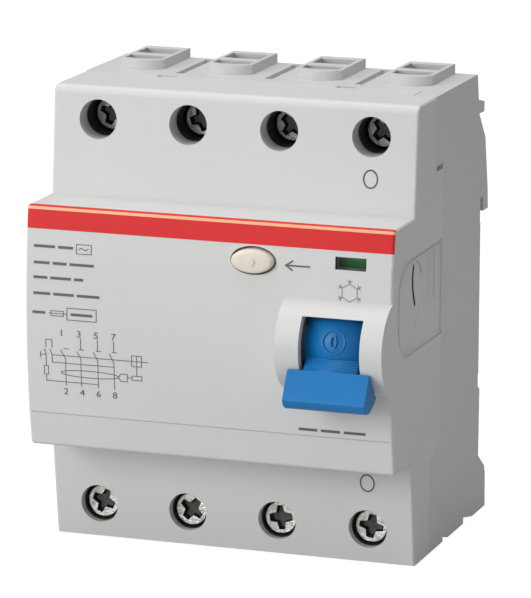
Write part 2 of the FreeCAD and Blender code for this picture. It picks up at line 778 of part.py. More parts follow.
def make_fixed_contacts():
    """Bent strips from the upper clamps to the fixed contacts."""
    for pole in POLES:
        name = "fixed_contact_" + str(pole)
        x = pole_x(pole)
        tongue = block(name + "_tongue", x + " - Size.tongue_half", x + " + Size.tongue_half",
                       "Size.tongue_front", "Size.tongue_front - Size.strip_thick",
                       "Size.fixed_strip_shelf", "Size.tongue_end")
        shelf = block(name + "_shelf", x + " - Size.tongue_half", x + " + Size.tongue_half",
                      "Size.tongue_front", "Size.fixed_strip_front - Size.strip_thick",
                      "Size.fixed_strip_shelf", "Size.fixed_strip_shelf + Size.strip_thick")
        drop = block(name + "_drop", x + " - Size.fixed_strip_half",
                     x + " + Size.fixed_strip_half", "Size.fixed_strip_front",
                     "Size.fixed_strip_front - Size.strip_thick", "Size.fixed_strip_bottom",
                     "Size.fixed_strip_shelf + Size.strip_thick")
        button = rod(name + "_button", x, "-Size.fixed_strip_front + 0.2", "Size.contact_height",
                     "Size.contact_button + 0.3", "Size.contact_button_rise + 0.2", ALONG_FRONT)
        as_node(fuse(name, [tongue, shelf, drop, button]), name)


def make_load_conductors():
    """Insulated conductors from the moving contacts, through the core, to the lower clamps."""
    spread = size("wire_spread")
    core_y = -size("core_depth")
    above = size("core_height") + size("core_thick") / 2 + 3.3
    below = size("core_height") - size("core_thick") / 2 - 4.0
    lanes = ((-spread, -spread), (-spread, spread), (spread, spread), (spread, -spread))
    for pole, (lane_x, lane_y) in zip(POLES, lanes):
        name = "load_conductor_" + str(pole)
        x = (pole - 2.5) * size("pole_pitch")
        start_y = core_y + abs(lane_y) + 2.2
        tongue_y = -size("tongue_front") + size("strip_thick") / 2
        route = [
            Vector(x, start_y, above + 3.5),
            Vector(x, core_y + lane_y, above),
            Vector(lane_x, core_y + lane_y, above),
            Vector(lane_x, core_y + lane_y, below),
            Vector(x, core_y + lane_y, below),
            Vector(x, tongue_y, below - 5.0),
            Vector(x, tongue_y, below - 7.5),
        ]
        wire = bent_wire(name + "_wire", route, size("wire_radius"))
        tongue = block(name + "_tongue", pole_x(pole) + " - Size.tongue_half",
                       pole_x(pole) + " + Size.tongue_half", "Size.tongue_front",
                       "Size.tongue_front - Size.strip_thick", "-Size.tongue_end",
                       "-Size.tongue_end + 14.6")
        as_node(fuse(name, [wire, tongue]), name)


def make_contact_rotor():
    """Moulded shaft with a holder per pole, a crank for the link and the moving contacts."""
    lean = Rotation(Vector(1, 0, 0), size("rotor_lean"))
    body = new_body("contact_carrier", "0", "-Size.rotor_depth", "Size.rotor_height")
    turn_body(body, lean, "0")
    ring = circles(body, "shaft_ring", "YZ_Plane", "0", [("0", "0")], "Size.rotor_radius")
    pad(body, "shaft", ring, "2 * Size.rotor_half")
    for pole in POLES:
        corners = [("-2.6", "0"), ("2.6", "0"), ("1.9", "Size.holder_top"),
                   ("-1.9", "Size.holder_top")]
        drawing = outline(body, "holder_profile_" + str(pole), "YZ_Plane", pole_x(pole), corners)
        pad(body, "holder_" + str(pole), drawing, "2 * Size.holder_half")
    corners = [("-2.4", "0"), ("2.4", "0"), ("2.4", "Size.crank_reach + 2"),
               ("-2.4", "Size.crank_reach + 2")]
    drawing = outline(body, "crank_profile", "YZ_Plane",
                      "(Size.crank_left + Size.crank_right) / 2", corners)
    pad(body, "crank", drawing, "Size.crank_right - Size.crank_left")
    ring = circles(body, "crank_hole_ring", "YZ_Plane",
                   "(Size.crank_left + Size.crank_right) / 2",
                   [("0", "Size.crank_reach")], "Size.link_pin_radius + 0.6")
    pocket(body, "crank_hole", ring, "Size.crank_right - Size.crank_left + 1")
    ring = circles(body, "shaft_bore_ring", "YZ_Plane", "0", [("0", "0")],
                   "Size.rotor_pin_radius + Size.pin_clearance")
    pocket(body, "shaft_bore", ring, "2 * Size.rotor_half + 2")
    as_node(body, "contact_carrier")
    for pole in POLES:
        name = "moving_contact_" + str(pole)
        body = new_body(name, pole_x(pole), "-Size.rotor_depth", "Size.rotor_height")
        turn_body(body, lean, pole_x(pole))
        arm = rectangle(body, name + "_profile", "YZ_Plane", "0", "-0.6", "0.6",
                        "Size.holder_top", "Size.arm_top")
        pad(body, name + "_arm", arm, "2 * Size.arm_half")
        tip = circles(body, name + "_tip_ring", "XZ_Plane", "-0.5",
                      [("0", "Size.arm_top - Size.contact_button")], "Size.contact_button")
        silver = pad(body, name + "_tip", tip, "1.4", "One side")
        silver.Reversed = True
        as_node(body, name)
    pin = rod("rotor_pin", "-Size.half_width + 0.8", "-Size.rotor_depth", "Size.rotor_height",
              "Size.rotor_pin_radius", "2 * (Size.half_width - 0.8)", ALONG_X)
    as_node(pin, "rotor_pin")


def turn_body(body, rotation, x):
    """Turn a body about its own origin, with its place still read from the sheet."""
    body.Placement = Placement(body.Placement.Base, rotation)
    body.setExpression("Placement.Base.x", x)


def make_arc_plates():
    plates = []
    for pole in POLES:
        for level in range(3):
            height = "20.4 + 1.3 * " + str(level)
            name = "arc_plate_" + str(pole) + "_" + str(level + 1)
            plates.append(block(name, pole_x(pole) + " - 4", pole_x(pole) + " + 4",
                                "23.4", "14.2", height, height + " + 0.6"))
    as_node(fuse("arc_plates", plates), "arc_plates")


def make_transformer():
    thick = "Size.core_thick"
    base_z = "Size.core_height - Size.core_thick / 2"
    y = "-Size.core_depth"
    ring = rod("core_ring", "0", y, base_z, "Size.core_radius", thick, UPRIGHT)
    hole = rod("core_bore", "0", y, base_z + " - 1", "Size.core_hole", thick + " + 2", UPRIGHT)
    as_node(cut("transformer_core", ring, [hole]), "transformer_core")
    layer = "Size.winding_layer"
    outer = rod("winding_outer", "0", y, base_z + " - " + layer,
                "Size.core_radius + " + layer, thick + " + 2 * " + layer, UPRIGHT)
    outer.setExpression("Angle", "Size.winding_turn")
    inner = rod("winding_bore", "0", y, base_z + " - 2 * " + layer,
                "Size.core_hole - " + layer, thick + " + 4 * " + layer, UPRIGHT)
    filled = rod("winding_core_space", "0", y, base_z + " - 0.02",
                 "Size.core_radius + 0.02", thick + " + 0.04", UPRIGHT)
    kept = rod("winding_core_hole", "0", y, base_z + " - 1", "Size.core_hole - 0.02",
               thick + " + 2", UPRIGHT)
    space = cut("winding_space", filled, [kept])
    as_node(cut("transformer_winding", outer, [inner, space]), "transformer_winding")


# ---- toggle mechanism ------------------------------------------------------------------

def make_toggle():
    body = new_body("toggle_lever", "Size.lever_x", "-Size.pivot_depth", "Size.pivot_height")
    corners = [("-7.0", "-3.0"), ("-4.2", "-7.4"), ("-8.7", "-10.2"), ("-10.4", "-10.1"),
               ("-11.6", "-9.3"), ("-12.0", "-8.3"), ("-9.2", "-3.5")]
    drawing = outline(body, "paddle_profile", "YZ_Plane", "0", corners)
    pad(body, "paddle", drawing, "2 * Size.paddle_half")
    ring = circles(body, "paddle_clearance_ring", "YZ_Plane", "0", [("0", "0")],
                   "Size.paddle_clear_radius")
    pocket(body, "paddle_clearance", ring, "2 * Size.paddle_half + 2")
    corners = [("-2", "0"), ("-6.0", "-1.2"), ("-9.2", "-4.2"), ("-8.6", "-7.0"),
               ("-3.5", "-6.3")]
    drawing = outline(body, "neck_profile", "YZ_Plane", "0", corners)
    pad(body, "neck", drawing, "2 * Size.neck_half")
    ring = circles(body, "drum_ring", "YZ_Plane", "0", [("0", "0")], "Size.drum_radius")
    pad(body, "drum", ring, "2 * Size.drum_half")
    ring = circles(body, "toggle_bore_ring", "YZ_Plane", "0", [("0", "0")],
                   "Size.toggle_pin_radius + Size.pin_clearance")
    pocket(body, "toggle_bore", ring, "2 * Size.drum_half + 2")
    ring = circles(body, "link_hole_ring", "YZ_Plane", "Size.drum_half",
                   [("-Size.link_arm * 0.5", "Size.link_arm * 0.866")],
                   "Size.link_pin_radius + Size.pin_clearance")
    pocket(body, "link_hole", ring, "5")
    as_node(body, "toggle_lever")
    pin = rod("toggle_pin", "Size.frame_left - 0.2", "-Size.pivot_depth", "Size.pivot_height",
              "Size.toggle_pin_radius", "Size.frame_right - Size.frame_left + 1.4", ALONG_X)
    as_node(pin, "toggle_pin")
    spring = coil("toggle_spring", "Size.frame_left + 1.45", "-Size.pivot_depth",
                  "Size.pivot_height", ALONG_X, 2.3, 0.2, 0.45, 0.45)
    as_node(spring, "toggle_spring")


def make_link():
    """Flat link from the toggle to the contact shaft's crank, with a peg at each end."""
    left = "Size.lever_x + Size.drum_half + 0.15"
    near_y = "-Size.pivot_depth - Size.link_arm * 0.5"
    near_z = "Size.pivot_height + Size.link_arm * 0.866"
    far_y = "-Size.rotor_depth - Size.crank_reach * 0.242"
    far_z = "Size.rotor_height + Size.crank_reach * 0.970"
    body = new_body("toggle_link", left, near_y, near_z)
    run = "(" + far_y + ") - (" + near_y + ")"
    rise = "(" + far_z + ") - (" + near_z + ")"
    corners = [("-0.9", "1.0"), ("-0.9", "-1.0"), ("0.9", "-1.2"),
               (run + " + 1.0", rise + " - 1.2"), (run + " + 1.0", rise + " + 1.0"),
               (run + " - 1.0", rise + " + 1.0")]
    drawing = outline(body, "link_profile", "YZ_Plane", "0", corners)
    pad(body, "link_plate", drawing, "0.8", "One side")
    ring = circles(body, "near_peg_ring", "YZ_Plane", "-2", [("0", "0")], "Size.link_pin_radius")
    pad(body, "near_peg", ring, "2.4", "One side")
    ring = circles(body, "far_peg_ring", "YZ_Plane", "0.4", [(run, rise)],
                   "Size.link_pin_radius")
    pad(body, "far_peg", ring, "1.5", "One side")
    as_node(body, "toggle_link")


def make_mechanism_frame():
    """Two cheeks and a web, which hold the toggle, the latch and the indicator drum."""
    body = new_body("mechanism_frame")
    web = "Size.frame_web_height"
    cheek = [("-53.3", "-2.2"), ("-50.4", "-6"), ("-47", web), ("-Size.frame_rear_depth", web),
             ("-Size.frame_rear_depth", "3.0"), ("-44.4", "3.6"), ("-44.4", "18.6"),
             ("-50.4", "18.6"), ("-50.4", "7.4"), ("-53.3", "4.4")]
    for name, left in (("left", "Size.frame_left"), ("right", "Size.frame_right")):
        drawing = outline(body, name + "_cheek_profile", "YZ_Plane", left, cheek)
        pad(body, name + "_cheek", drawing, "Size.frame_plate", "One side")
    floor = rectangle(body, "web_profile", "YZ_Plane", "Size.frame_left", "-46",
                      "-Size.frame_rear_depth", web, web + " + 0.8")
    pad(body, "web", floor, "Size.frame_right - Size.frame_left + Size.frame_plate", "One side")
    holes = (
        ("toggle", "-Size.pivot_depth", "Size.pivot_height", "Size.toggle_pin_radius"),
        ("latch", "-Size.latch_depth", "Size.latch_height",
         "Size.latch_pin_radius + Size.pin_clearance"),
        ("flag", "-Size.flag_depth", "Size.flag_height",
         "Size.flag_axle_radius + Size.pin_clearance"),
    )
    for name, across, up, radius in holes:
        ring = circles(body, name + "_hole_ring", "YZ_Plane", "Size.lever_x", [(across, up)],
                       radius)
        pocket(body, name + "_hole", ring, "20")
    ring = circles(body, "plunger_hole_ring", "XY_Plane", web + " + 2",
                   [("Size.lever_x", "-Size.plunger_depth")], "Size.plunger_radius + 0.3")
    pocket(body, "plunger_hole", ring, "4", "One side")
    as_node(body, "mechanism_frame")


def make_latch():
    body = new_body("trip_latch", "Size.lever_x", "-Size.latch_depth", "Size.latch_height")
    axle = circles(body, "latch_axle_ring", "YZ_Plane", "0", [("0", "0")],
                   "Size.latch_pin_radius")
    pad(body, "latch_axle", axle, "Size.frame_right - Size.frame_left + Size.frame_plate + 0.4")
    corners = [("-1.5", "-1.5"), ("4.6", "-6.0"), ("5.4", "-5.2"), ("1.5", "1.5"),
               ("1.2", "6.8"), ("-1.4", "6.8")]
    drawing = outline(body, "latch_profile", "YZ_Plane", "0", corners)
    pad(body, "latch_plate", drawing, "5.6")
    as_node(body, "trip_latch")
    spring = coil("latch_spring", "Size.lever_x + 3.2", "-Size.latch_depth",
                  "Size.latch_height", ALONG_X, 1.45, 0.22, 0.6, 1.8)
    as_node(spring, "latch_spring")


def make_relay():
    left = "Size.lever_x - Size.relay_half"
    right = "Size.lever_x + Size.relay_half"
    case = block("relay_outer", left, right, "Size.relay_front", "Size.relay_back",
                 "Size.relay_bottom", "Size.relay_top")
    inner = block("relay_space", left + " + 1", right + " - 1", "Size.relay_front - 1",
                  "Size.relay_back + 1", "Size.relay_bottom + 1", "Size.relay_top - 1")
    z = "Size.relay_bottom"
    shaft = rod("relay_shaft_hole", "Size.lever_x", "-Size.plunger_depth", z + " + 2",
                "Size.plunger_radius + 0.2", "20", UPRIGHT)
    as_node(cut("relay_case", case, [inner, shaft]), "relay_case")
    outer = rod("relay_coil_outer", "Size.lever_x", "-Size.plunger_depth",
                z + " + 1.3", "4.6", "6.6", UPRIGHT)
    bore = rod("relay_coil_bore", "Size.lever_x", "-Size.plunger_depth", z + " + 2",
               "Size.plunger_radius + 0.2", "20", UPRIGHT)
    as_node(cut("relay_coil", outer, [bore]), "relay_coil")
    pin = rod("relay_plunger", "Size.lever_x", "-Size.plunger_depth", z + " + 2.4",
              "Size.plunger_radius", "Size.plunger_top - Size.relay_bottom - 2.4", UPRIGHT)
    as_node(pin, "relay_plunger")


# ---- indicator, test button, rail clips ------------------------------------------------

def make_indicator():
    lens = block("indicator_lens", "Size.window_left", "Size.window_right", "Size.lens_front",
                 "Size.lens_back", "Size.window_bottom", "Size.window_top")
    as_node(lens, "indicator_lens")
    y = "-Size.flag_depth"
    z = "Size.flag_height"
    drum = rod("flag_drum", "Size.flag_left", y, z, "Size.flag_radius",
               "Size.flag_right - Size.flag_left", ALONG_X)
    axle = rod("flag_axle", "Size.frame_left - 0.2", y, z, "Size.flag_axle_radius",
               "Size.frame_right - Size.frame_left + 1.4", ALONG_X)
    as_node(fuse("indicator_drum", [drum, axle]), "indicator_drum")


def oval_plug(name, wider, front, back):
    rim = doc.addObject("Part::Ellipse", name + "_rim")
    rim.setExpression("MajorRadius", "Size.button_wide + " + wider)
    rim.setExpression("MinorRadius", "Size.button_tall + " + wider)
    place(rim, "Size.button_x", "-(" + back + ")", "Size.button_z", ALONG_FRONT)
    made = doc.addObject("Part::Extrusion", name)
    made.Base = rim
    made.Dir = Vector(0, -1, 0)
    made.setExpression("LengthFwd", "(" + front + ") - (" + back + ")")
    made.Solid = True
    return made


def make_test_button():
    head = oval_plug("button_head", "0", "Size.button_front", "Size.button_flange_back")
    flange = oval_plug("button_flange", "Size.button_flange_extra", "Size.button_flange_front",
                       "Size.button_flange_back")
    stem = rod("button_stem", "Size.button_x", "-Size.button_stem_end", "Size.button_z",
               "Size.button_stem_radius", "Size.button_flange_back - Size.button_stem_end + 0.5",
               ALONG_FRONT)
    as_node(fuse("test_button", [head, flange, stem]), "test_button")
    spring = coil("test_button_spring", "Size.button_x", "-Size.test_block_front - 0.25",
                  "Size.button_z", ALONG_FRONT, 1.9, 0.22, 0.95, 3.4)
    as_node(spring, "test_button_spring")
    case = block("test_block_outer", "Size.button_x - 6", "Size.button_x + 6",
                 "Size.test_block_front", "Size.test_block_back", "9", "20.4")
    room = block("test_block_room", "Size.button_x - 5", "Size.button_x + 5",
                 "Size.test_block_front - 1.2", "Size.test_block_back - 1", "10", "19.4")
    hole = rod("test_block_hole", "Size.button_x", "-Size.test_block_back", "Size.button_z",
               "Size.button_stem_radius + 0.15", "10", ALONG_FRONT)
    as_node(cut("test_switch_block", case, [room, hole]), "test_switch_block")
    blade = block("test_blade", "Size.button_x - 1.6", "Size.button_x + 1.6",
                  "Size.test_strip_depth", "Size.test_strip_depth - 0.4", "10", "18.4")
    foot = block("test_blade_foot", "Size.button_x - 1.6", "Size.button_x + 1.6",
                 "Size.test_strip_depth", "Size.test_block_back - 1.5", "10", "10.5")
    as_node(fuse("test_contact_strip", [blade, foot]), "test_contact_strip")
    core = rod("resistor_body", "-9", "-41", "14", "2.2", "8", ALONG_X)
    lead = rod("resistor_lead", "-12", "-41", "14", "0.35", "14.5", ALONG_X)
    as_node(fuse("test_resistor", [core, lead]), "test_resistor")


def make_rail_clips():
    for name, x in (("left", "-Size.pole_pitch"), ("right", "Size.pole_pitch")):
        node = "rail_clip_" + name
        body = new_body(node, x, "0", "0")
        corners = [
            ("Size.clip_front", "Size.clip_end"),
            ("Size.clip_back", "Size.clip_end"),
            ("Size.clip_back", "Size.clip_nose_bottom"),
            ("Size.clip_nose_back", "Size.clip_nose_bottom + 0.7"),
            ("Size.clip_nose_back", "Size.clip_nose_top - 1"),
            ("Size.clip_back - 0.2", "Size.clip_nose_top"),
            ("Size.clip_front + 0.1", "Size.clip_nose_top"),
            ("Size.clip_front + 0.1", "Size.clip_nose_bottom"),
            ("Size.clip_front", "Size.clip_nose_bottom - 0.5"),
        ]
        drawing = outline(body, node + "_profile", "YZ_Plane", "0", corners)
        pad(body, node + "_plate", drawing, "2 * Size.clip_half")
        slot = rectangle(body, node + "_pull_profile", "XZ_Plane", "2", "-2.6", "2.6", "-41",
                         "-39.2")
        pocket(body, node + "_pull_slot", slot, "10", "One side")
        as_node(body, node)


make_front_cover()
make_rear_base()
make_terminals()
make_fixed_contacts()
make_load_conductors()
make_contact_rotor()
make_arc_plates()
make_transformer()
make_toggle()
make_link()
make_mechanism_frame()
make_latch()
make_relay()
make_indicator()
make_test_button()
make_rail_clips()
doc.recompute()

# ---- checks and export -----------------------------------------------------------------

for thing in doc.Objects:
    if "Invalid" in thing.State or "Error" in thing.State:
        raise RuntimeError("failed object: " + thing.Name + " " + str(thing.State))
    if thing.TypeId == "PartDesign::Pocket":
        if thing.Shape.Volume > thing.BaseFeature.Shape.Volume - 1e-4:
            raise RuntimeError("pocket cuts nothing: " + thing.Name)
for name, thing in nodes.items():
    if thing.Shape.isNull() or not thing.Shape.isValid() or not thing.Shape.Solids:
        raise RuntimeError("bad shape: " + name)

os.makedirs("parts", exist_ok=True)
for name, thing in nodes.items():
    thing.Shape.exportStep("parts/" + name + ".step")
    print(name, len(thing.Shape.Solids), round(thing.Shape.Volume, 2))
print(len(nodes), "sub-parts")
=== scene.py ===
# %% [markdown]
# # A four-pole residual current device
#
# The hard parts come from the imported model: two housing shells, clamps, screws, contacts.
# This lesson gives them their finishes, and adds what a moulder and a printer add:
# soft edges, printed marks, a blue toggle, an oval test button and real screw heads.
# Everything is in metres, in the model's own frame: X to the right, Z up, front towards -Y.

# %% Load the fixed frame
import json
import math

import bmesh
import bpy
from mathutils import Matrix, Vector


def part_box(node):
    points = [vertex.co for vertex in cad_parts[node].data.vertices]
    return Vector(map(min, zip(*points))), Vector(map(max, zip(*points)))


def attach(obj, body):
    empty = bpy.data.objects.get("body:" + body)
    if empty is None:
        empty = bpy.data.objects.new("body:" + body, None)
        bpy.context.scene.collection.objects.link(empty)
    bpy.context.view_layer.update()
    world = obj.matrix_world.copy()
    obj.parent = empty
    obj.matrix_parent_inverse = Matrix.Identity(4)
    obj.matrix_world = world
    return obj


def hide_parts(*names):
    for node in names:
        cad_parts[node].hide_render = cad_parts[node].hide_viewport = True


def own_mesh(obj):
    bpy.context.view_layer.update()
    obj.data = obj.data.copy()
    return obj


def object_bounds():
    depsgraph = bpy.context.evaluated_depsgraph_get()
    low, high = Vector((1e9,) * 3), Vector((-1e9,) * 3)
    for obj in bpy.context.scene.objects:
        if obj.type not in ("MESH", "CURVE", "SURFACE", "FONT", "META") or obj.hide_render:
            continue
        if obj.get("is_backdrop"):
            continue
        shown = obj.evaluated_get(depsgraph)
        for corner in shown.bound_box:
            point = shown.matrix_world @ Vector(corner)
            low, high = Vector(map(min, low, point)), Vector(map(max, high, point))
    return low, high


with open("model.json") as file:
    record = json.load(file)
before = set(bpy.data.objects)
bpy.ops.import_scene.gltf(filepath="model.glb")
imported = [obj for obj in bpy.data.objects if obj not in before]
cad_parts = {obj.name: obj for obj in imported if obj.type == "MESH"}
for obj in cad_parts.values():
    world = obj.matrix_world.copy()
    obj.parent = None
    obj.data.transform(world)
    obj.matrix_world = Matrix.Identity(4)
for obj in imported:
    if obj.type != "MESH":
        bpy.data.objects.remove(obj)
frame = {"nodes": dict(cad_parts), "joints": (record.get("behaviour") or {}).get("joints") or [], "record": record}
nodes = frame["nodes"]
cad_low, cad_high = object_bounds()
MM = 0.001
print("nodes", len(nodes), "box", [round(v / MM, 1) for v in cad_low],
      [round(v / MM, 1) for v in cad_high])

# %% [markdown]
# ## Places that everything else is measured from
#
# A printed mark has to lie on the nose of the cover, which is slightly crowned.
# So the first helpers say where the nose is, and how far forward its skin lies at a height.

# %% Places on the object
cover_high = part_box("front_cover")[1]
lens_low, lens_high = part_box("indicator_lens")
button_low, button_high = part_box("test_button")
joint_at = {joint["name"]: Vector(joint.get("pos_m", (0, 0, 0))) for joint in frame["joints"]}
POLE_PITCH = 17.5 * MM
POLES = (1, 2, 3, 4)
NOSE_HALF = 22.5 * MM
NOSE_FRONT = -53.0 * MM
CREASE_Z = -15.9 * MM
CREASE_FRONT = -53.4 * MM
CROWN_RADIUS = 154.0 * MM
NOSE_FOOT_FRONT = -52.3 * MM
PRINT_LIFT = 0.035 * MM


def crown_centre():
    """Centre of the arc through the nose's top edge and its lower crease."""
    top = Vector((NOSE_FRONT, NOSE_HALF))
    crease = Vector((CREASE_FRONT, CREASE_Z))
    half = (top - crease).length / 2
    inward = Vector((top.y - crease.y, crease.x - top.x)).normalized()
    return (top + crease) / 2 + inward * math.sqrt(CROWN_RADIUS ** 2 - half ** 2)


CROWN = crown_centre()


def nose_y(z):
    """How far forward the nose's skin lies at a height."""
    if z >= CREASE_Z:
        return CROWN.x - math.sqrt(CROWN_RADIUS ** 2 - (z - CROWN.y) ** 2)
    share = (CREASE_Z - z) / (CREASE_Z + NOSE_HALF)
    return CREASE_FRONT + share * (NOSE_FOOT_FRONT - CREASE_FRONT)


def pole_x(pole):
    """How far right of the middle a pole's centre lies."""
    return (pole - 2.5) * POLE_PITCH


print("crown", round(nose_y(0.0) / MM, 2), "toggle pivot", joint_at["toggle_turn"])

# %% [markdown]
# ## Camera, light and floor
#
# The camera stands right of centre and a little above, far away, with a long lens,
# so upright edges stay almost parallel. A big soft light from the upper left makes the
# top faces the palest and leaves the right side in a soft shade.

# %% Camera
LENS_LENGTH = 261.3732
SENSOR = 36.0
EYE_BACK = 781.2 * MM
EYE_RIGHT = 10.195 * MM
EYE_UP = 7.363 * MM
azimuth = math.radians(19.261)
elevation = math.radians(12.531)
roll = math.radians(0.167)
aim = Vector((0, NOSE_FRONT, 0))
back = Vector((math.sin(azimuth) * math.cos(elevation), -math.cos(azimuth) * math.cos(elevation),
               math.sin(elevation)))
right = Vector((math.cos(azimuth), math.sin(azimuth), 0))
up = back.cross(right)
rolled_right = right * math.cos(roll) + up * math.sin(roll)
rolled_up = up * math.cos(roll) - right * math.sin(roll)
eye = aim + back * EYE_BACK + rolled_right * EYE_RIGHT + rolled_up * EYE_UP
camera_data = bpy.data.cameras.new("camera")
camera_data.sensor_width = SENSOR
camera_data.lens = LENS_LENGTH
camera_data.clip_start = 0.01
camera = bpy.data.objects.new("camera", camera_data)
facing = Matrix((rolled_right, rolled_up, back)).transposed()
camera.matrix_world = Matrix.Translation(eye) @ facing.to_4x4()
bpy.context.scene.collection.objects.link(camera)
bpy.context.scene.camera = camera
print("camera", [round(v, 3) for v in eye], "lens", round(camera_data.lens, 1))


# %% Light
def soft_light(name, place, size, power, towards):
    """A square area light that faces a point."""
    data = bpy.data.lights.new(name, "AREA")
    data.shape = "SQUARE"
    data.size = size
    data.energy = power
    lamp = bpy.data.objects.new(name, data)
    lamp.location = place
    lamp.rotation_euler = (Vector(towards) - Vector(place)).to_track_quat("-Z", "Y").to_euler()
    bpy.context.scene.collection.objects.link(lamp)


SHADE_LEVEL = 0.37
BACKDROP_LEVEL = 1.05
middle = (cad_low[0] + cad_high[0]) / 2, (cad_low[1] + cad_high[1]) / 2, 0.0
soft_light("key", (-0.60, -0.85, 0.36), size=0.5, power=5.6, towards=middle)
soft_light("top", (-0.05, 0.0, 0.9), size=0.6, power=4.5, towards=middle)
soft_light("low_fill", (-0.15, -1.0, -0.1), size=0.5, power=1.9, towards=middle)
bpy.context.scene.view_settings.view_transform = "Standard"
world = bpy.data.worlds.new("studio")
world.use_nodes = True
sky = world.node_tree.nodes["Background"]
seen = world.node_tree.nodes.new("ShaderNodeLightPath")
brightness = world.node_tree.nodes.new("ShaderNodeMapRange")
brightness.inputs["To Min"].default_value = SHADE_LEVEL
brightness.inputs["To Max"].default_value = BACKDROP_LEVEL
world.node_tree.links.new(seen.outputs["Is Camera Ray"], brightness.inputs["Value"])
world.node_tree.links.new(brightness.outputs["Result"], sky.inputs["Strength"])
sky.inputs["Color"].default_value = (1.0, 1.0, 1.0, 1)
bpy.context.scene.world = world
print("lights", len(bpy.data.lights))

# %% Floor
FLOOR_HALF = 3.0
FLOOR_GAP = 0.2 * MM
floor_shape = bmesh.new()
bmesh.ops.create_grid(floor_shape, x_segments=4, y_segments=4, size=FLOOR_HALF)
bmesh.ops.translate(floor_shape, verts=floor_shape.verts, vec=(0, 0, cad_low[2] - FLOOR_GAP))
floor_mesh = bpy.data.meshes.new("floor")
floor_shape.to_mesh(floor_mesh)
floor_shape.free()
floor = bpy.data.objects.new("floor", floor_mesh)
bpy.context.scene.collection.objects.link(floor)
floor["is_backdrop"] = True
print("floor at", round(cad_low[2] / MM, 2), "mm")

# %% [markdown]
# ## Shader groups
#
# Moulded plastic is never one flat colour. It has a fine spark-eroded grain, slightly
# uneven gloss, and cloudy tone differences a few centimetres across. Both plastics, the
# toggle and the button use the same recipe with different numbers, so it is one group.


# %% Helpers for node groups
def new_group(name, inputs, outputs):
    """An empty shader group with float inputs and typed outputs."""
    group = bpy.data.node_groups.new(name, "ShaderNodeTree")
    for label, kind, value in inputs:
        socket = group.interface.new_socket(name=label, in_out="INPUT", socket_type=kind)
        socket.default_value = value
    for label, kind in outputs:
        group.interface.new_socket(name=label, in_out="OUTPUT", socket_type=kind)
    entry = group.nodes.new("NodeGroupInput")
    leave = group.nodes.new("NodeGroupOutput")
    return group, entry, leave


def node(tree, kind, **settings):
    """A new node with its settings."""
    made = tree.nodes.new(kind)
    for key, value in settings.items():
        setattr(made, key, value)
    return made


def math_node(tree, operation, first, second):
    """A Math node; each operand is a socket or a number."""
    made = node(tree, "ShaderNodeMath", operation=operation)
    for index, value in enumerate((first, second)):
        if isinstance(value, (int, float)):
            made.inputs[index].default_value = value
        else:
            tree.links.new(value, made.inputs[index])
    return made.outputs[0]


def noise(tree, place, scale, detail):
    """Noise on object coordinates; scale counts features per metre."""
    made = node(tree, "ShaderNodeTexNoise")
    made.inputs["Detail"].default_value = detail
    tree.links.new(place, made.inputs["Vector"])
    if isinstance(scale, (int, float)):
        made.inputs["Scale"].default_value = scale
    else:
        tree.links.new(scale, made.inputs["Scale"])
    return made.outputs["Fac"]


print("helpers ready for two shader groups")

# %% Moulded grain group
FLOAT = "NodeSocketFloat"
COLOUR = "NodeSocketColor"
moulded, entry, leave = new_group(
    "moulded_grain",
    (("Colour", COLOUR, (0.8, 0.8, 0.8, 1)), ("Tone spread", FLOAT, 0.04),
     ("Grain size", FLOAT, 5200.0), ("Roughness", FLOAT, 0.45), ("Gloss spread", FLOAT, 0.10)),
    (("Colour", COLOUR), ("Roughness", FLOAT), ("Height", FLOAT)))
place = node(moulded, "ShaderNodeTexCoord").outputs["Object"]
cloud = noise(moulded, place, 38.0, 2.0)
speck = noise(moulded, place, 900.0, 3.0)
grain = noise(moulded, place, entry.outputs["Grain size"], 2.0)
tone = math_node(moulded, "ADD", math_node(moulded, "MULTIPLY", cloud, 0.75),
                 math_node(moulded, "MULTIPLY", speck, 0.25))
swing = math_node(moulded, "MULTIPLY", math_node(moulded, "SUBTRACT", tone, 0.5),
                  entry.outputs["Tone spread"])
shade = math_node(moulded, "ADD", math_node(moulded, "MULTIPLY", swing, 2.0), 1.0)
tint = node(moulded, "ShaderNodeVectorMath", operation="SCALE")
moulded.links.new(entry.outputs["Colour"], tint.inputs[0])
moulded.links.new(shade, tint.inputs["Scale"])
moulded.links.new(tint.outputs[0], leave.inputs["Colour"])
gloss = math_node(moulded, "MULTIPLY", math_node(moulded, "SUBTRACT", speck, 0.5),
                  entry.outputs["Gloss spread"])
moulded.links.new(math_node(moulded, "ADD", entry.outputs["Roughness"], gloss),
                  leave.inputs["Roughness"])
moulded.links.new(grain, leave.inputs["Height"])
print("group", moulded.name, "nodes", len(moulded.nodes))


# %% Plastics
def new_material(name):
    """A material with its nodes and its main shader."""
    material = bpy.data.materials.new(name)
    material.use_nodes = True
    return material, material.node_tree, material.node_tree.nodes["Principled BSDF"]


def use_group(tree, group, values):
    """Place a shader group in a material with its own values."""
    made = node(tree, "ShaderNodeGroup", node_tree=group)
    for label, value in values.items():
        made.inputs[label].default_value = value
    return made


def bumped(tree, shader, height, depth):
    """Feed a height into the shader's normal; depth is in metres."""
    bump = node(tree, "ShaderNodeBump")
    bump.inputs["Distance"].default_value = depth
    bump.inputs["Strength"].default_value = 1.0
    tree.links.new(height, bump.inputs["Height"])
    tree.links.new(bump.outputs["Normal"], shader.inputs["Normal"])


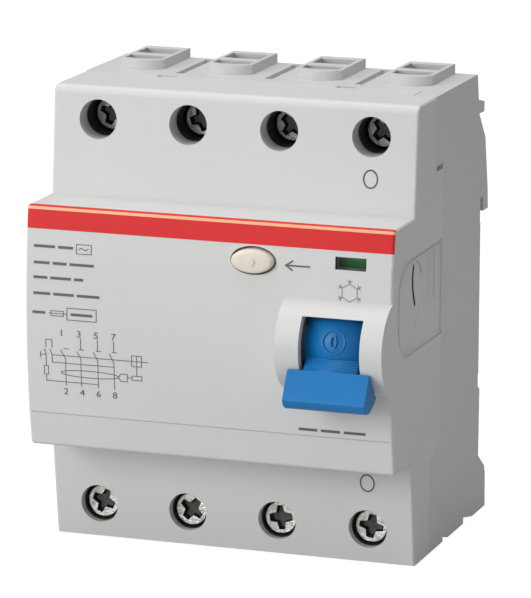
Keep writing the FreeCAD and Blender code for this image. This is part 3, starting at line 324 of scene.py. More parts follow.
def plastic(name, colour, roughness, grain_depth, tone_spread=0.04, grain_size=5200.0,
            gloss_spread=0.10):
    """Moulded plastic: cloudy tone, uneven gloss and a fine spark-eroded grain."""
    material, tree, shader = new_material(name)
    look = use_group(tree, moulded, {
        "Colour": (*colour, 1), "Tone spread": tone_spread, "Grain size": grain_size,
        "Roughness": roughness, "Gloss spread": gloss_spread})
    shader.inputs["Specular IOR Level"].default_value = 0.35
    tree.links.new(look.outputs["Colour"], shader.inputs["Base Color"])
    tree.links.new(look.outputs["Roughness"], shader.inputs["Roughness"])
    bumped(tree, shader, look.outputs["Height"], grain_depth)
    return material


COVER_GREY = (0.66, 0.66, 0.65)
cover_plastic = plastic("cover_plastic", COVER_GREY, 0.46, 0.000012)
base_plastic = plastic("base_plastic", (0.62, 0.62, 0.61), 0.48, 0.000012)
clip_plastic = plastic("clip_plastic", (0.50, 0.50, 0.49), 0.50, 0.00001)
black_plastic = plastic("black_plastic", (0.03, 0.03, 0.032), 0.5, 0.00001, 0.2)
toggle_blue = plastic("toggle_blue", (0.006, 0.175, 0.47), 0.42, 0.000008, 0.14)
button_cream = plastic("button_cream", (0.80, 0.74, 0.64), 0.34, 0.000004, 0.03)
red_print = plastic("red_print", (0.70, 0.008, 0.010), 0.45, 0.000003, 0.06)
dark_print = plastic("dark_print", (0.13, 0.13, 0.135), 0.5, 0.000002, 0.2)
# A pale peach used as a painted highlight on the red band's rounded top edge.
painted_highlight = plastic("painted_highlight", (0.90, 0.46, 0.26), 0.3, 0.000002, 0.05)
# A grey a little darker than the cover, used as painted shade along the nose's crease.
painted_crease_shade = plastic("painted_crease_shade", (0.45, 0.45, 0.445), 0.5, 0.00001)
# A near-black used as painted shade: on the side panel's floor, on the window's inner walls and round the screw
# heads.
painted_shade = plastic("painted_shade", (0.025, 0.027, 0.026), 0.6, 0.000004, 0.2)
floor_paper, tree, shader = new_material("floor_paper")
look = use_group(tree, moulded, {"Tone spread": 0.01, "Roughness": 0.9})
seen = node(tree, "ShaderNodeLightPath").outputs["Is Camera Ray"]
paper = node(tree, "ShaderNodeMix", data_type="RGBA")
tree.links.new(seen, paper.inputs["Factor"])
paper.inputs[6].default_value = (0.50, 0.50, 0.50, 1)
paper.inputs[7].default_value = (0.12, 0.12, 0.12, 1)
tree.links.new(paper.outputs[2], look.inputs["Colour"])
tree.links.new(look.outputs["Colour"], shader.inputs["Base Color"])
tree.links.new(look.outputs["Roughness"], shader.inputs["Roughness"])
tree.links.new(seen, shader.inputs["Emission Color"])
shader.inputs["Emission Strength"].default_value = 0.94
floor.data.materials.append(floor_paper)
print("materials", len(bpy.data.materials))

# %% [markdown]
# ## Metals
#
# The clamp screws are bright zinc over steel: a cold, mottled metal with a finely uneven
# skin. Copper strips are warmer. One group makes the mottling, and each metal sets its
# own colour, gloss and depth of unevenness.

# %% Metal group and metals
mottled, entry, leave = new_group(
    "mottled_metal",
    (("Colour", COLOUR, (0.6, 0.6, 0.6, 1)), ("Tone spread", FLOAT, 0.2),
     ("Roughness", FLOAT, 0.3), ("Gloss spread", FLOAT, 0.25)),
    (("Colour", COLOUR), ("Roughness", FLOAT), ("Height", FLOAT)))
place = node(mottled, "ShaderNodeTexCoord").outputs["Object"]
stain = noise(mottled, place, 1300.0, 4.0)
fleck = noise(mottled, place, 3200.0, 2.0)
swing = math_node(mottled, "MULTIPLY", math_node(mottled, "SUBTRACT", stain, 0.5),
                  entry.outputs["Tone spread"])
shade = math_node(mottled, "ADD", swing, 1.0)
tint = node(mottled, "ShaderNodeVectorMath", operation="SCALE")
mottled.links.new(entry.outputs["Colour"], tint.inputs[0])
mottled.links.new(shade, tint.inputs["Scale"])
mottled.links.new(tint.outputs[0], leave.inputs["Colour"])
gloss = math_node(mottled, "MULTIPLY", math_node(mottled, "SUBTRACT", stain, 0.5),
                  entry.outputs["Gloss spread"])
mottled.links.new(math_node(mottled, "ADD", entry.outputs["Roughness"], gloss),
                  leave.inputs["Roughness"])
mottled.links.new(fleck, leave.inputs["Height"])


def metal(name, colour, roughness, depth=0.00001, tone_spread=0.25):
    """Plated or bare metal with soft mottling."""
    material, tree, shader = new_material(name)
    look = use_group(tree, mottled, {"Colour": (*colour, 1), "Tone spread": tone_spread,
                                     "Roughness": roughness})
    shader.inputs["Metallic"].default_value = 1.0
    tree.links.new(look.outputs["Colour"], shader.inputs["Base Color"])
    tree.links.new(look.outputs["Roughness"], shader.inputs["Roughness"])
    bumped(tree, shader, look.outputs["Height"], depth)
    return material


zinc = metal("bright_zinc", (0.74, 0.74, 0.71), 0.34, 0.00012, 1.5)
# A near-black metal, used as painted shade on the floor and walls of the screw recesses.
recess_painted_shade = metal("recess_painted_shade", (0.10, 0.10, 0.098), 0.5, 0.00006, 1.2)
steel = metal("spring_steel", (0.42, 0.42, 0.43), 0.32)
# A darker copy of the zinc, painted shade for the upper screws, which sit deeper in shadow.
zinc_painted_shade = metal("zinc_painted_shade", (0.36, 0.36, 0.35), 0.34, 0.00010, 1.2)
copper = metal("copper", (0.80, 0.42, 0.26), 0.30)
core_metal = metal("core_lacquer", (0.30, 0.31, 0.34), 0.45)
enamel = metal("enamelled_wire", (0.55, 0.22, 0.08), 0.35)
print("group", mottled.name, "nodes", len(mottled.nodes))

# %% [markdown]
# ## Finishes of the model's own pieces
#
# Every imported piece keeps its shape. The record says which finish each one has, so a
# small table from the record's slots to the materials above dresses them all.

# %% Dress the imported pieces
FINISH = {
    "cover_plastic": cover_plastic, "base_plastic": base_plastic, "clip_plastic": clip_plastic,
    "black_plastic": black_plastic, "toggle_plastic": toggle_blue, "button_plastic": button_cream,
    "zinc_steel": zinc, "spring_steel": steel, "copper": copper, "core_metal": core_metal,
    "resistor_ceramic": clip_plastic,
}
slot_of = {part["node"]: part["material_slot"] for part in frame["record"]["subparts"]}


def dress(thing, material):
    """Give an object one material."""
    thing.data.materials.clear()
    thing.data.materials.append(material)


for name, thing in nodes.items():
    if slot_of[name] in FINISH:
        dress(thing, FINISH[slot_of[name]])
dress(nodes["transformer_winding"], enamel)
print("dressed", len(nodes), "packed pieces")

# %% [markdown]
# ## Soft edges on the two shells
#
# Injection moulds have no razor edges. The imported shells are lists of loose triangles, so
# they are welded, their flat faces are joined up again, and a narrow bevel rounds every
# real edge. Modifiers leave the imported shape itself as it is.


# %% Bevel the shells
def soften(thing, width, segments=2):
    """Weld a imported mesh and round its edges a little."""
    weld = thing.modifiers.new("weld", "WELD")
    weld.merge_threshold = 0.002 * MM
    join = thing.modifiers.new("join", "DECIMATE")
    join.decimate_type = "DISSOLVE"
    join.angle_limit = math.radians(0.6)
    bevel = thing.modifiers.new("bevel", "BEVEL")
    bevel.width = width
    bevel.segments = segments
    bevel.limit_method = "ANGLE"
    bevel.angle_limit = math.radians(32)
    bevel.use_clamp_overlap = True
    bevel.harden_normals = False
    normals = thing.modifiers.new("normals", "WEIGHTED_NORMAL")
    normals.mode = "FACE_AREA"
    normals.weight = 100
    normals.keep_sharp = True


for name in ("front_cover", "rear_base"):
    soften(nodes[name], 0.16 * MM)
print("softened the shells")

# %% [markdown]
# ## A way to finish every new piece
#
# Each new piece is shaped in a bmesh, its doubles are merged and its faces are turned
# outwards. Then it rides on one body of the model, and takes a finish by name.

# %% Finish a piece
scene = bpy.context.scene


def finish_piece(shape, name, material, body, stands_for=()):
    """Make an object of a bmesh, dress it, and let it ride on a body."""
    bmesh.ops.remove_doubles(shape, verts=shape.verts, dist=0.0004 * MM)
    bmesh.ops.recalc_face_normals(shape, faces=shape.faces)
    mesh = bpy.data.meshes.new(name)
    shape.to_mesh(mesh)
    shape.free()
    thing = bpy.data.objects.new(name, mesh)
    scene.collection.objects.link(thing)
    mesh.materials.append(material)
    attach(thing, body)
    for stood_for in stands_for:
        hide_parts(stood_for)
    print(name, "faces", len(mesh.polygons))
    return thing


def round_piece(thing, width, segments=3, angle=35):
    """Round the sharp edges of a finished piece."""
    bevel = thing.modifiers.new("rounding", "BEVEL")
    bevel.width = width
    bevel.segments = segments
    bevel.profile = 0.5
    bevel.limit_method = "ANGLE"
    bevel.angle_limit = math.radians(angle)
    bevel.harden_normals = True
    for face in thing.data.polygons:
        face.use_smooth = True


def prism(shape, corners, left, right):
    """Push a flat outline of (depth, height) points sideways from left to right."""
    verts = [shape.verts.new((left, depth, height)) for depth, height in corners]
    bmesh.ops.contextual_create(shape, geom=verts)
    face = [found for found in verts[0].link_faces if len(found.verts) == len(verts)][0]
    pushed = bmesh.ops.extrude_face_region(shape, geom=[face], use_keep_orig=True)
    moved = [part for part in pushed["geom"] if isinstance(part, bmesh.types.BMVert)]
    bmesh.ops.translate(shape, verts=moved, vec=(right - left, 0, 0))


# %% [markdown]
# ## Ink
#
# Pad printing leaves a film of ink a few hundredths of a millimetre thick. Numbers come
# from the built-in letter shapes and lines from thin bars. All of them are drawn flat, at
# depth zero, and then the whole drawing is wrapped onto the surface that carries it.

# %% Numbers and lines
INK = 0.02 * MM
DASH = 0.5


def write(shape, numbers, left, right, bottom, top, thickness=INK):
    """Add a row of numbers that fills a box, in millimetres across and up."""
    curve = bpy.data.curves.new("letters", "FONT")
    curve.body = numbers
    curve.extrude = 0.5
    thing = bpy.data.objects.new("letters", curve)
    scene.collection.objects.link(thing)
    graph = bpy.context.evaluated_depsgraph_get()
    letters = bpy.data.meshes.new_from_object(thing.evaluated_get(graph))
    bpy.data.objects.remove(thing)
    bpy.data.curves.remove(curve)
    old = set(shape.verts)
    shape.from_mesh(letters)
    bpy.data.meshes.remove(letters)
    fresh = [vert for vert in shape.verts if vert not in old]
    low = [min(vert.co[axis] for vert in fresh) for axis in (0, 1)]
    high = [max(vert.co[axis] for vert in fresh) for axis in (0, 1)]
    wide = (right - left) / (high[0] - low[0])
    tall = (top - bottom) / (high[1] - low[1])
    for vert in fresh:
        across, height, out = vert.co
        vert.co = ((left + (across - low[0]) * wide) * MM, (0.5 - out) * thickness - thickness,
                   (bottom + (height - low[1]) * tall) * MM)


def line(shape, start, end, width=0.2, thickness=INK):
    """Add a thin bar between two points, in millimetres across and up."""
    run = Vector(end) - Vector(start)
    centre = (Vector(end) + Vector(start)) / 2
    turn = Matrix.Rotation(-math.atan2(run.y, run.x), 4, "Y")
    scale = Matrix.Diagonal(((run.length + width) * MM, thickness, width * MM, 1))
    place = Matrix.Translation((centre.x * MM, -thickness / 2, centre.y * MM))
    bmesh.ops.create_cube(shape, size=1, matrix=place @ turn @ scale)


def path(shape, points, width=0.2, closed=False, thickness=INK):
    """Add bars along a chain of points."""
    ends = points[1:] + points[:1] if closed else points[1:]
    for start, end in zip(points, ends):
        line(shape, start, end, width, thickness)


def ring(shape, centre, wide, tall, width=0.2, sides=28, thickness=INK):
    """Add an oval line."""
    points = []
    for step in range(sides):
        angle = 2 * math.pi * step / sides
        points.append((centre[0] + wide * math.cos(angle), centre[1] + tall * math.sin(angle)))
    path(shape, points, width, True, thickness)


def dashes(shape, height, spans):
    """Add a row of short ink bars, each from left to right, at one height."""
    for left, right in spans:
        line(shape, (left, height), (right, height), DASH)


def lay_on_nose(shape):
    """Wrap a flat drawing onto the crowned nose."""
    for vert in shape.verts:
        vert.co.y += nose_y(vert.co.z) - PRINT_LIFT


print("ink", INK / MM, "mm thick")

# %% [markdown]
# ## The red band
#
# A broad red stripe runs across the top of the nose and rolls over its rounded edge. It
# is one row of points up the nose and round the edge, pushed sideways in a few stations
# that sink a little at each end, where the side edges of the cover are rounded too.

# %% Red band
BAND_BOTTOM = 18.3 * MM
EDGE_RADIUS = 0.9 * MM
SIDE_RADIUS = 0.5 * MM
BAND_SKIN = 0.03 * MM
ROW_STEP = 0.5 * MM
half_cover = cover_high[0]
band_rows = [(nose_y(BAND_BOTTOM + step * ROW_STEP), BAND_BOTTOM + step * ROW_STEP, 180.0)
             for step in range(7)]
edge_centre = (nose_y(NOSE_HALF - EDGE_RADIUS) + EDGE_RADIUS, NOSE_HALF - EDGE_RADIUS)
for step in range(9):
    angle = math.radians(90 * step / 8)
    band_rows.append((edge_centre[0] - EDGE_RADIUS * math.cos(angle),
                      edge_centre[1] + EDGE_RADIUS * math.sin(angle), 180 - 90 * step / 8))
stations = []
for angle in (66, 45, 25, 0):
    sunk = SIDE_RADIUS * (1 - math.cos(math.radians(angle)))
    stations.append((half_cover - SIDE_RADIUS * (1 - math.sin(math.radians(angle))), sunk))
stations = [(-across, sunk) for across, sunk in stations] + stations[::-1]


def band_point(across, sunk, row, lift):
    """A point of the band, moved out along the row's own direction."""
    out = math.radians(row[2])
    return (across, row[0] + (lift - sunk) * math.cos(out), row[1] + (lift - sunk) * math.sin(out))


def make_band(name, rows, lift, material):
    """Bend a plain grid, columns to stations and lines to rows, then thicken it."""
    shape = bmesh.new()
    bmesh.ops.create_grid(shape, x_segments=len(stations) - 1, y_segments=len(rows) - 1, size=0.5)
    for vert in shape.verts:
        column = round((vert.co.x + 0.5) * (len(stations) - 1))
        row = round((vert.co.y + 0.5) * (len(rows) - 1))
        vert.co = band_point(*stations[column], rows[row], lift)
    bmesh.ops.recalc_face_normals(shape, faces=shape.faces)
    bmesh.ops.solidify(shape, geom=shape.faces[:], thickness=BAND_SKIN)
    return finish_piece(shape, name, material, "housing")


make_band("red_band", band_rows, PRINT_LIFT, red_print)
# A thin pale peach strip over the band's rounded top edge is a painted highlight, where that edge catches the
# light.
make_band("band_painted_highlight", band_rows[8:12], PRINT_LIFT + BAND_SKIN, painted_highlight)

# %% [markdown]
# ## Printed marks
#
# Rows of short plain bars stand at the left, where such a device states its ratings.
# Below them is the little circuit drawing with numbered ways, and beside the button an
# arrow. The frost mark has no figure in it, and a ring marks the last pair of terminals.

# %% Rating rows
rows = bmesh.new()
dashes(rows, 15.15, ((-33.2, -29.6), (-28.5, -26.1)))
dashes(rows, 12.15, ((-33.2, -30.6), (-29.5, -27.3), (-26.2, -22.0)))
dashes(rows, 9.45, ((-33.2, -31.0), (-29.9, -26.4), (-25.3, -24.0)))
dashes(rows, 6.5, ((-33.2, -30.4), (-29.3, -25.8), (-24.7, -20.8)))
dashes(rows, 2.95, ((-33.4, -31.4), (-25.9, -22.2)))
path(rows, [(-25.2, 14.2), (-22.3, 14.2), (-22.3, 15.9), (-25.2, 15.9)], 0.13, True)
path(rows, [(-24.7, 14.9), (-24.4, 15.2), (-24.1, 15.2), (-23.6, 14.9), (-23.3, 14.9),
            (-22.9, 15.2)], 0.14)
path(rows, [(-30.0, 2.5), (-27.6, 2.5), (-27.6, 3.4), (-30.0, 3.4)], 0.13, True)
path(rows, [(-30.4, 2.95), (-26.9, 2.95)], 0.12)
path(rows, [(-26.9, 1.9), (-21.2, 1.9), (-21.2, 4.1), (-26.9, 4.1)], 0.14, True)
lay_on_nose(rows)
finish_piece(rows, "rating_rows", dark_print, "housing")

# %% Circuit drawing
THIN = 0.13
POLE_LINES = ((-27.3, -5.35, -28.2, -3.8), (-24.3, -5.1, -25.05, -3.95),
              (-21.0, -5.3, -21.8, -3.8), (-17.85, -5.5, -18.7, -3.8))
circuit = bmesh.new()
write(circuit, "1    3    5    7", -28.1, -17.4, -1.2, 0.0)
write(circuit, "2    4    6    8", -27.8, -17.4, -12.2, -11.0)
for number, (across, hinge, tip, tip_height) in enumerate(POLE_LINES):
    path(circuit, [(tip, tip_height), (across, hinge), (across, -10.4)], THIN)
    line(circuit, (across - 0.3, -3.5), (across + 0.6, -3.5), THIN)
    if number:
        line(circuit, (across, -1.4), (across, -3.5), THIN)
line(circuit, (-29.9, -4.85), (-11.3, -4.85), THIN)
path(circuit, [(-31.4, -3.9), (-31.1, -4.7), (-31.1, -7.0)], THIN)
path(circuit, [(-31.1, -3.4), (-31.1, -2.0), (-29.9, -2.0), (-29.9, -3.4)], THIN)
path(circuit, [(-30.3, -3.8), (-29.9, -4.9), (-29.9, -6.25), (-17.9, -6.25)], THIN)
path(circuit, [(-32.2, -4.35), (-32.2, -5.5)], THIN)
line(circuit, (-32.2, -4.9), (-31.2, -4.9), THIN)
path(circuit, [(-31.5, -7.0), (-30.7, -7.0), (-30.7, -8.6), (-31.5, -8.6)], THIN, True)
path(circuit, [(-31.1, -8.6), (-31.1, -9.8), (-21.1, -9.8)], THIN)
path(circuit, [(-14.4, -3.8), (-12.5, -3.8), (-12.5, -5.8), (-14.4, -5.8)], THIN, True)
line(circuit, (-13.45, -3.8), (-13.45, -7.6), THIN)
ring(circuit, (-22.6, -8.05), 5.6, 0.65, THIN)
path(circuit, [(-17.0, -8.1), (-16.6, -7.4), (-15.3, -7.4), (-15.3, -8.8), (-16.6, -8.8)],
     THIN, True)
path(circuit, [(-14.4, -7.6), (-12.5, -7.6), (-12.5, -8.4), (-14.4, -8.4)], THIN, True)
line(circuit, (-15.3, -8.0), (-14.4, -8.0), THIN)
lay_on_nose(circuit)
finish_piece(circuit, "circuit_print", dark_print, "housing")

# %% Arrow beside the button, frost mark and last terminals' rings
FROST = Vector((26.95, 10.9))
marks = bmesh.new()
path(marks, [(14.9, 15.0), (19.3, 15.0)], 0.3)
path(marks, [(16.1, 15.8), (14.9, 15.0), (16.1, 14.2)], 0.3)
for step in range(6):
    out = math.radians(90 + 60 * step)
    after = out + math.radians(60)
    arm = Vector((math.cos(out), math.sin(out)))
    line(marks, FROST + arm * 1.62, FROST + Vector((math.cos(after), math.sin(after))) * 1.62, 0.1)
    line(marks, FROST + arm * 1.62, FROST + arm * 2.4, 0.1)
    for lean in (-0.95, 0.95):
        barb = Vector((math.cos(out + lean), math.sin(out + lean))) * 0.55
        line(marks, FROST + arm * 1.85, FROST + arm * 1.85 + barb, 0.09)
dashes(marks, -14.85, ((17.6, 20.6), (21.8, 24.9), (26.1, 29.7)))
lay_on_nose(marks)
finish_piece(marks, "front_marks", dark_print, "housing")
# A thin darker grey bar along the nose's lower crease is painted shade where the nose bends.
crease = bmesh.new()
line(crease, (-34.4, CREASE_Z / MM - 0.1), (34.4, CREASE_Z / MM - 0.1), 0.16)
lay_on_nose(crease)
finish_piece(crease, "crease_painted_shade", painted_crease_shade, "housing")

UPPER_SLOPE = ((-41.2 * MM, 22.5 * MM), (-39.6 * MM, 42.5 * MM))
LOWER_SLOPE = ((-42.2 * MM, -22.5 * MM), (-39.6 * MM, -42.5 * MM))
rings = bmesh.new()
for slope, across, height in ((UPPER_SLOPE, 26.35, 28.95), (LOWER_SLOPE, 26.5, -27.1)):
    old = set(rings.verts)
    ring(rings, (across, height), 1.3, 1.6, 0.24)
    (near_y, near_z), (far_y, far_z) = slope
    for vert in rings.verts:
        if vert not in old:
            share = (vert.co.z - near_z) / (far_z - near_z)
            vert.co.y += near_y + share * (far_y - near_y) - PRINT_LIFT
finish_piece(rings, "terminal_rings", dark_print, "housing")

# %% [markdown]
# ## Fine lines on the right side
#
# The right side has a shallow sunk panel. Inside it stand fine raised lines and a little column of ribs, and a
# dark curved crescent and thin dark lines just inside the raised rim are painted shade. Each is a thin bar drawn
# on the panel's floor.

# %% Side lines
PANEL_FLOOR = cover_high[0] - 0.3 * MM
BEAD = 0.2 * MM


def side_line(shape, points, width, rise, closed=False):
    """Add bars on the panel; points are (depth, height) in millimetres."""
    flat = bmesh.new()
    path(flat, points, width, closed, rise)
    for vert in flat.verts:
        across, out, up = vert.co
        vert.co = (PANEL_FLOOR - out, across, up)
    loose = bpy.data.meshes.new("side_line")
    flat.to_mesh(loose)
    flat.free()
    shape.from_mesh(loose)
    bpy.data.meshes.remove(loose)


def curve_points(start, control, end, steps=8):
    """A smooth bend from start to end that leans towards control."""
    points = []
    for step in range(steps + 1):
        share = step / steps
        first = Vector(start).lerp(Vector(control), share)
        points.append(tuple(first.lerp(Vector(control).lerp(Vector(end), share), share)))
    return points


beads = bmesh.new()
rim = [(-25.2, 14.9), (-42.0, 14.9)]
rim += curve_points((-42.0, 14.9), (-49.6, 14.6), (-49.8, 9.5))
rim += curve_points((-49.8, 4.0), (-49.8, -1.2), (-46.3, -1.4))
rim += [(-25.2, -1.6)]
side_line(beads, rim, 0.24, BEAD)
side_line(beads, [(-34.5, 7.6), (-44.4, -1.2)], 0.2, BEAD)
side_line(beads, curve_points((-39.9, 14.6), (-37.8, 13.9), (-36.4, 11.6)), 0.2, BEAD)
side_line(beads, [(-28.7, 14.3), (-28.7, 5.5), (-33.2, 5.4)], 0.24, BEAD)
for step in range(9):
    side_line(beads, [(-32.9, 7.2 + step * 0.85), (-31.0, 7.2 + step * 0.85)], 0.22, BEAD * 0.6)
finish_piece(beads, "side_lines", cover_plastic, "housing")
# Painted shade: a dark crescent on the panel's floor, and thin dark lines of painted shadow just inside the raised
# rim.
shades = bmesh.new()
crescent = curve_points((-41.0, 13.6), (-42.6, 11.0), (-40.2, 6.6), 12)
side_line(shades, crescent, 0.75, 0.02 * MM)
side_line(shades, [(depth + 0.32, height) for depth, height in rim[2:-1]], 0.14, 0.02 * MM)
finish_piece(shades, "side_painted_shade", painted_shade, "housing")

# %% [markdown]
# ## The test button
#
# An oval cap stands proud of the nose in a narrow dark gap, with a dot moulded on its
# domed face. Under the cover it has a wider flange that stops it falling out, and a stem
# for the spring. The cap is an oval disc, pushed forward and drawn in a few times.

# %% Test button
BUTTON_X = (button_low[0] + button_high[0]) / 2
BUTTON_Z = (button_low[2] + button_high[2]) / 2
BUTTON_WIDE = 3.95 * MM
BUTTON_TALL = 2.16 * MM
CAP_BACK = -50.4 * MM
FLANGE_EXTRA = 0.9 * MM
FLANGE_BACK = -50.0 * MM
FLANGE_FRONT = -50.9 * MM
STEM_RADIUS = 1.3 * MM
STEM_FRONT = -50.2 * MM
DOT_RADIUS = 0.75 * MM
DOT_SUNK = 0.1 * MM
DOT_PROUD = 0.25 * MM
DOME = ((1.0, 0.9), (0.985, 0.5), (0.95, 0.27), (0.88, 0.13), (0.7, 0.05), (0.4, 0.01),
        (0.08, 0.0))


def oval_disc(shape, wide, tall, back, sides=72):
    """A filled oval facing the front, at a depth."""
    made = bmesh.ops.create_circle(shape, cap_ends=True, segments=sides, radius=1)["verts"]
    upright = Matrix.Translation((BUTTON_X, back, BUTTON_Z)) @ Matrix.Rotation(math.pi / 2, 4, "X")
    bmesh.ops.transform(shape, verts=made, matrix=upright @ Matrix.Diagonal((wide, tall, 1, 1)))
    return max(made[0].link_faces, key=lambda face: len(face.verts))


def push(shape, face, depth, shrink=1.0):
    """Extrude a face to a depth, drawing it in towards its middle; gives the new face."""
    pushed = bmesh.ops.extrude_face_region(shape, geom=[face])["geom"]
    bmesh.ops.delete(shape, geom=[face], context="FACES_ONLY")
    moved = [part for part in pushed if isinstance(part, bmesh.types.BMVert)]
    centre = sum((vert.co for vert in moved), Vector()) / len(moved)
    for vert in moved:
        vert.co = centre + (vert.co - centre) * shrink
        vert.co.y = depth
    return [part for part in pushed if isinstance(part, bmesh.types.BMFace)][0]


def closed_push(shape, face, depth):
    """Keep the starting face as the back wall, and push a copy of it to a depth."""
    pushed = bmesh.ops.extrude_face_region(shape, geom=[face], use_keep_orig=True)["geom"]
    moved = [part for part in pushed if isinstance(part, bmesh.types.BMVert)]
    for vert in moved:
        vert.co.y = depth
    return [part for part in pushed if isinstance(part, bmesh.types.BMFace)][0]


button = bmesh.new()
front = oval_disc(button, BUTTON_WIDE, BUTTON_TALL, CAP_BACK)
front = closed_push(button, front, button_low[1] + DOME[0][1] * MM)
before = 1.0
for share, behind in DOME[1:]:
    front = push(button, front, button_low[1] + behind * MM, share / before)
    before = share
flange = oval_disc(button, BUTTON_WIDE + FLANGE_EXTRA, BUTTON_TALL + FLANGE_EXTRA, FLANGE_BACK)
closed_push(button, flange, FLANGE_FRONT)
stem = oval_disc(button, STEM_RADIUS, STEM_RADIUS, button_high[1], 24)
closed_push(button, stem, STEM_FRONT)
button_piece = finish_piece(button, "button_cap", button_cream, "test_button",
                            ("test_button",))
for face in button_piece.data.polygons:
    face.use_smooth = abs(face.normal.y) > 0.2 and len(face.vertices) == 4

dot = bmesh.new()
dot_face = oval_disc(dot, DOT_RADIUS, DOT_RADIUS, button_low[1] + DOT_SUNK, 32)
closed_push(dot, dot_face, button_low[1] - DOT_PROUD)
round_piece(finish_piece(dot, "button_dot", button_cream, "test_button"),
            0.1 * MM, 3)

# %% [markdown]
# ## The button's spring
#
# A small coil spring under the cap pushes it back out, and shortens when it is pressed.
# A round slice of the wire is spun round the spring's axis while it moves along it. The coil is made at its full
# length and rides on the housing.

# %% Button spring
SPRING_TURNS = 3.5
TURN_STEPS = 20
WIRE_RADIUS = 0.22 * MM
spring_low, spring_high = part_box("test_button_spring")
coil_radius = (spring_high[0] - spring_low[0]) / 2 - WIRE_RADIUS
coil_x = (spring_low[0] + spring_high[0]) / 2
coil_z = (spring_low[2] + spring_high[2]) / 2
coil_length = spring_high[1] - spring_low[1]
wire_run = coil_length - 2 * WIRE_RADIUS
coil = bmesh.new()
wire = bmesh.ops.create_circle(coil, cap_ends=True, segments=8, radius=WIRE_RADIUS)["verts"]
steps = int(SPRING_TURNS * TURN_STEPS)
bmesh.ops.translate(coil, verts=wire,
                    vec=(coil_x + coil_radius, spring_low[1] + WIRE_RADIUS, coil_z))
bmesh.ops.spin(coil, geom=coil.verts[:] + coil.edges[:] + coil.faces[:],
               cent=(coil_x, spring_low[1], coil_z), axis=(0, 1, 0),
               dvec=(0, wire_run / steps, 0), angle=2 * math.pi * SPRING_TURNS, steps=steps)
spring_piece = finish_piece(coil, "button_spring", steel, "housing",
                            ("test_button_spring",))
for face in spring_piece.data.polygons:
    face.use_smooth = True
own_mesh(spring_piece)
print("spring length", round(coil_length / MM, 2))

# %% [markdown]
# ## Window and flag
#
# Behind a clear window a small drum turns with the contacts. Its front quarter is green
# while the contacts are open, and the quarter that comes round when they close is red.
# The colours are masks on the drum's own coordinates, measured from its axle.

# %% Window and flag
clear_plastic, tree, shader = new_material("clear_plastic")
look = use_group(tree, moulded, {"Colour": (0.93, 0.97, 0.95, 1), "Tone spread": 0.01,
                                 "Roughness": 0.06, "Gloss spread": 0.04})
shader.inputs["Transmission Weight"].default_value = 1.0
shader.inputs["IOR"].default_value = 1.25
tree.links.new(look.outputs["Colour"], shader.inputs["Base Color"])
tree.links.new(look.outputs["Roughness"], shader.inputs["Roughness"])
dress(nodes["indicator_lens"], clear_plastic)

FLAG_AXLE = joint_at["indicator_turn"]
flag, tree, shader = new_material("flag_colours")
place = node(tree, "ShaderNodeTexCoord").outputs["Object"]
split = node(tree, "ShaderNodeSeparateXYZ")
tree.links.new(place, split.inputs[0])
forward = math_node(tree, "SUBTRACT", FLAG_AXLE.y, split.outputs["Y"])
below = math_node(tree, "SUBTRACT", FLAG_AXLE.z, split.outputs["Z"])
green_mask = math_node(tree, "GREATER_THAN", forward, math_node(tree, "ABSOLUTE", below, 0.0))
red_mask = math_node(tree, "GREATER_THAN", below, math_node(tree, "ABSOLUTE", forward, 0.0))
colour = None
for mask, base, paint in ((red_mask, (0.03, 0.03, 0.03, 1), (0.60, 0.02, 0.02, 1)),
                          (green_mask, None, (0.012, 0.24, 0.035, 1))):
    mixer = node(tree, "ShaderNodeMix", data_type="RGBA")
    tree.links.new(mask, mixer.inputs["Factor"])
    if base:
        mixer.inputs[6].default_value = base
    else:
        tree.links.new(colour, mixer.inputs[6])
    mixer.inputs[7].default_value = paint
    colour = mixer.outputs[2]
look = use_group(tree, moulded, {"Tone spread": 0.06, "Roughness": 0.4})
tree.links.new(colour, look.inputs["Colour"])
tree.links.new(look.outputs["Colour"], shader.inputs["Base Color"])
tree.links.new(look.outputs["Roughness"], shader.inputs["Roughness"])
bumped(tree, shader, look.outputs["Height"], 0.000004)
dress(nodes["indicator_drum"], flag)
print("flag axle", FLAG_AXLE)

# %% Painted shade on the window's inner walls
SHADE_WALL = 0.12 * MM
SHADE_WALL_GAP = 0.06 * MM
SHADE_WALL_OVERLAP = 0.02 * MM
# Four thin near-black walls inside the window opening, in front of the lens, are painted shade in the recess.
window_shade_walls = bmesh.new()
left, right, bottom, top = lens_low[0], lens_high[0], lens_low[2], lens_high[2]
front_at = nose_y(top) + SHADE_WALL_GAP
back_at = lens_low[1] + SHADE_WALL_OVERLAP
for low_x, high_x, low_z, high_z in (
        (left, left + SHADE_WALL, bottom, top), (right - SHADE_WALL, right, bottom, top),
        (left, right, bottom, bottom + SHADE_WALL), (left, right, top - SHADE_WALL, top)):
    prism(window_shade_walls, [(front_at, low_z), (back_at, low_z), (back_at, high_z), (front_at, high_z)],
          low_x, high_x)
finish_piece(window_shade_walls, "window_painted_shade", painted_shade, "housing")
print("lens", [round(v / MM, 2) for v in (*lens_low, *lens_high)])

# %% [markdown]
# ## Terminal screws
#
# Eight clamp screws sit deep in round holes. Each head has a recess for a flat or a
# crossed driver. Half an outline, from the head down past the thread to the tip, is spun
# round the screw's axis. The open top is filled in round a cross, which is then pushed in.

# %% Screw shape
HEAD_RADIUS = 3.2 * MM
HEAD_THICK = 2.8 * MM
HEAD_CHAMFER = 0.25 * MM
THREAD_TOP = 2.0 * MM
THREAD_ROOT = 1.62 * MM
THREAD_PITCH = 0.8 * MM
RECESS_DEPTH = 1.1 * MM
RECESS_REACH = 2.6 * MM
RECESS_TAPER = 0.8
SKIN = 0.05 * MM
CROSS = ((0.95, 0.8), (2.3, 0.5), (2.3, -0.5), (0.95, -0.8), (0.65, -2.2), (-0.65, -2.2),
         (-0.95, -0.8), (-2.3, -0.5), (-2.3, 0.5), (-0.95, 0.8), (-0.65, 2.2), (0.65, 2.2))


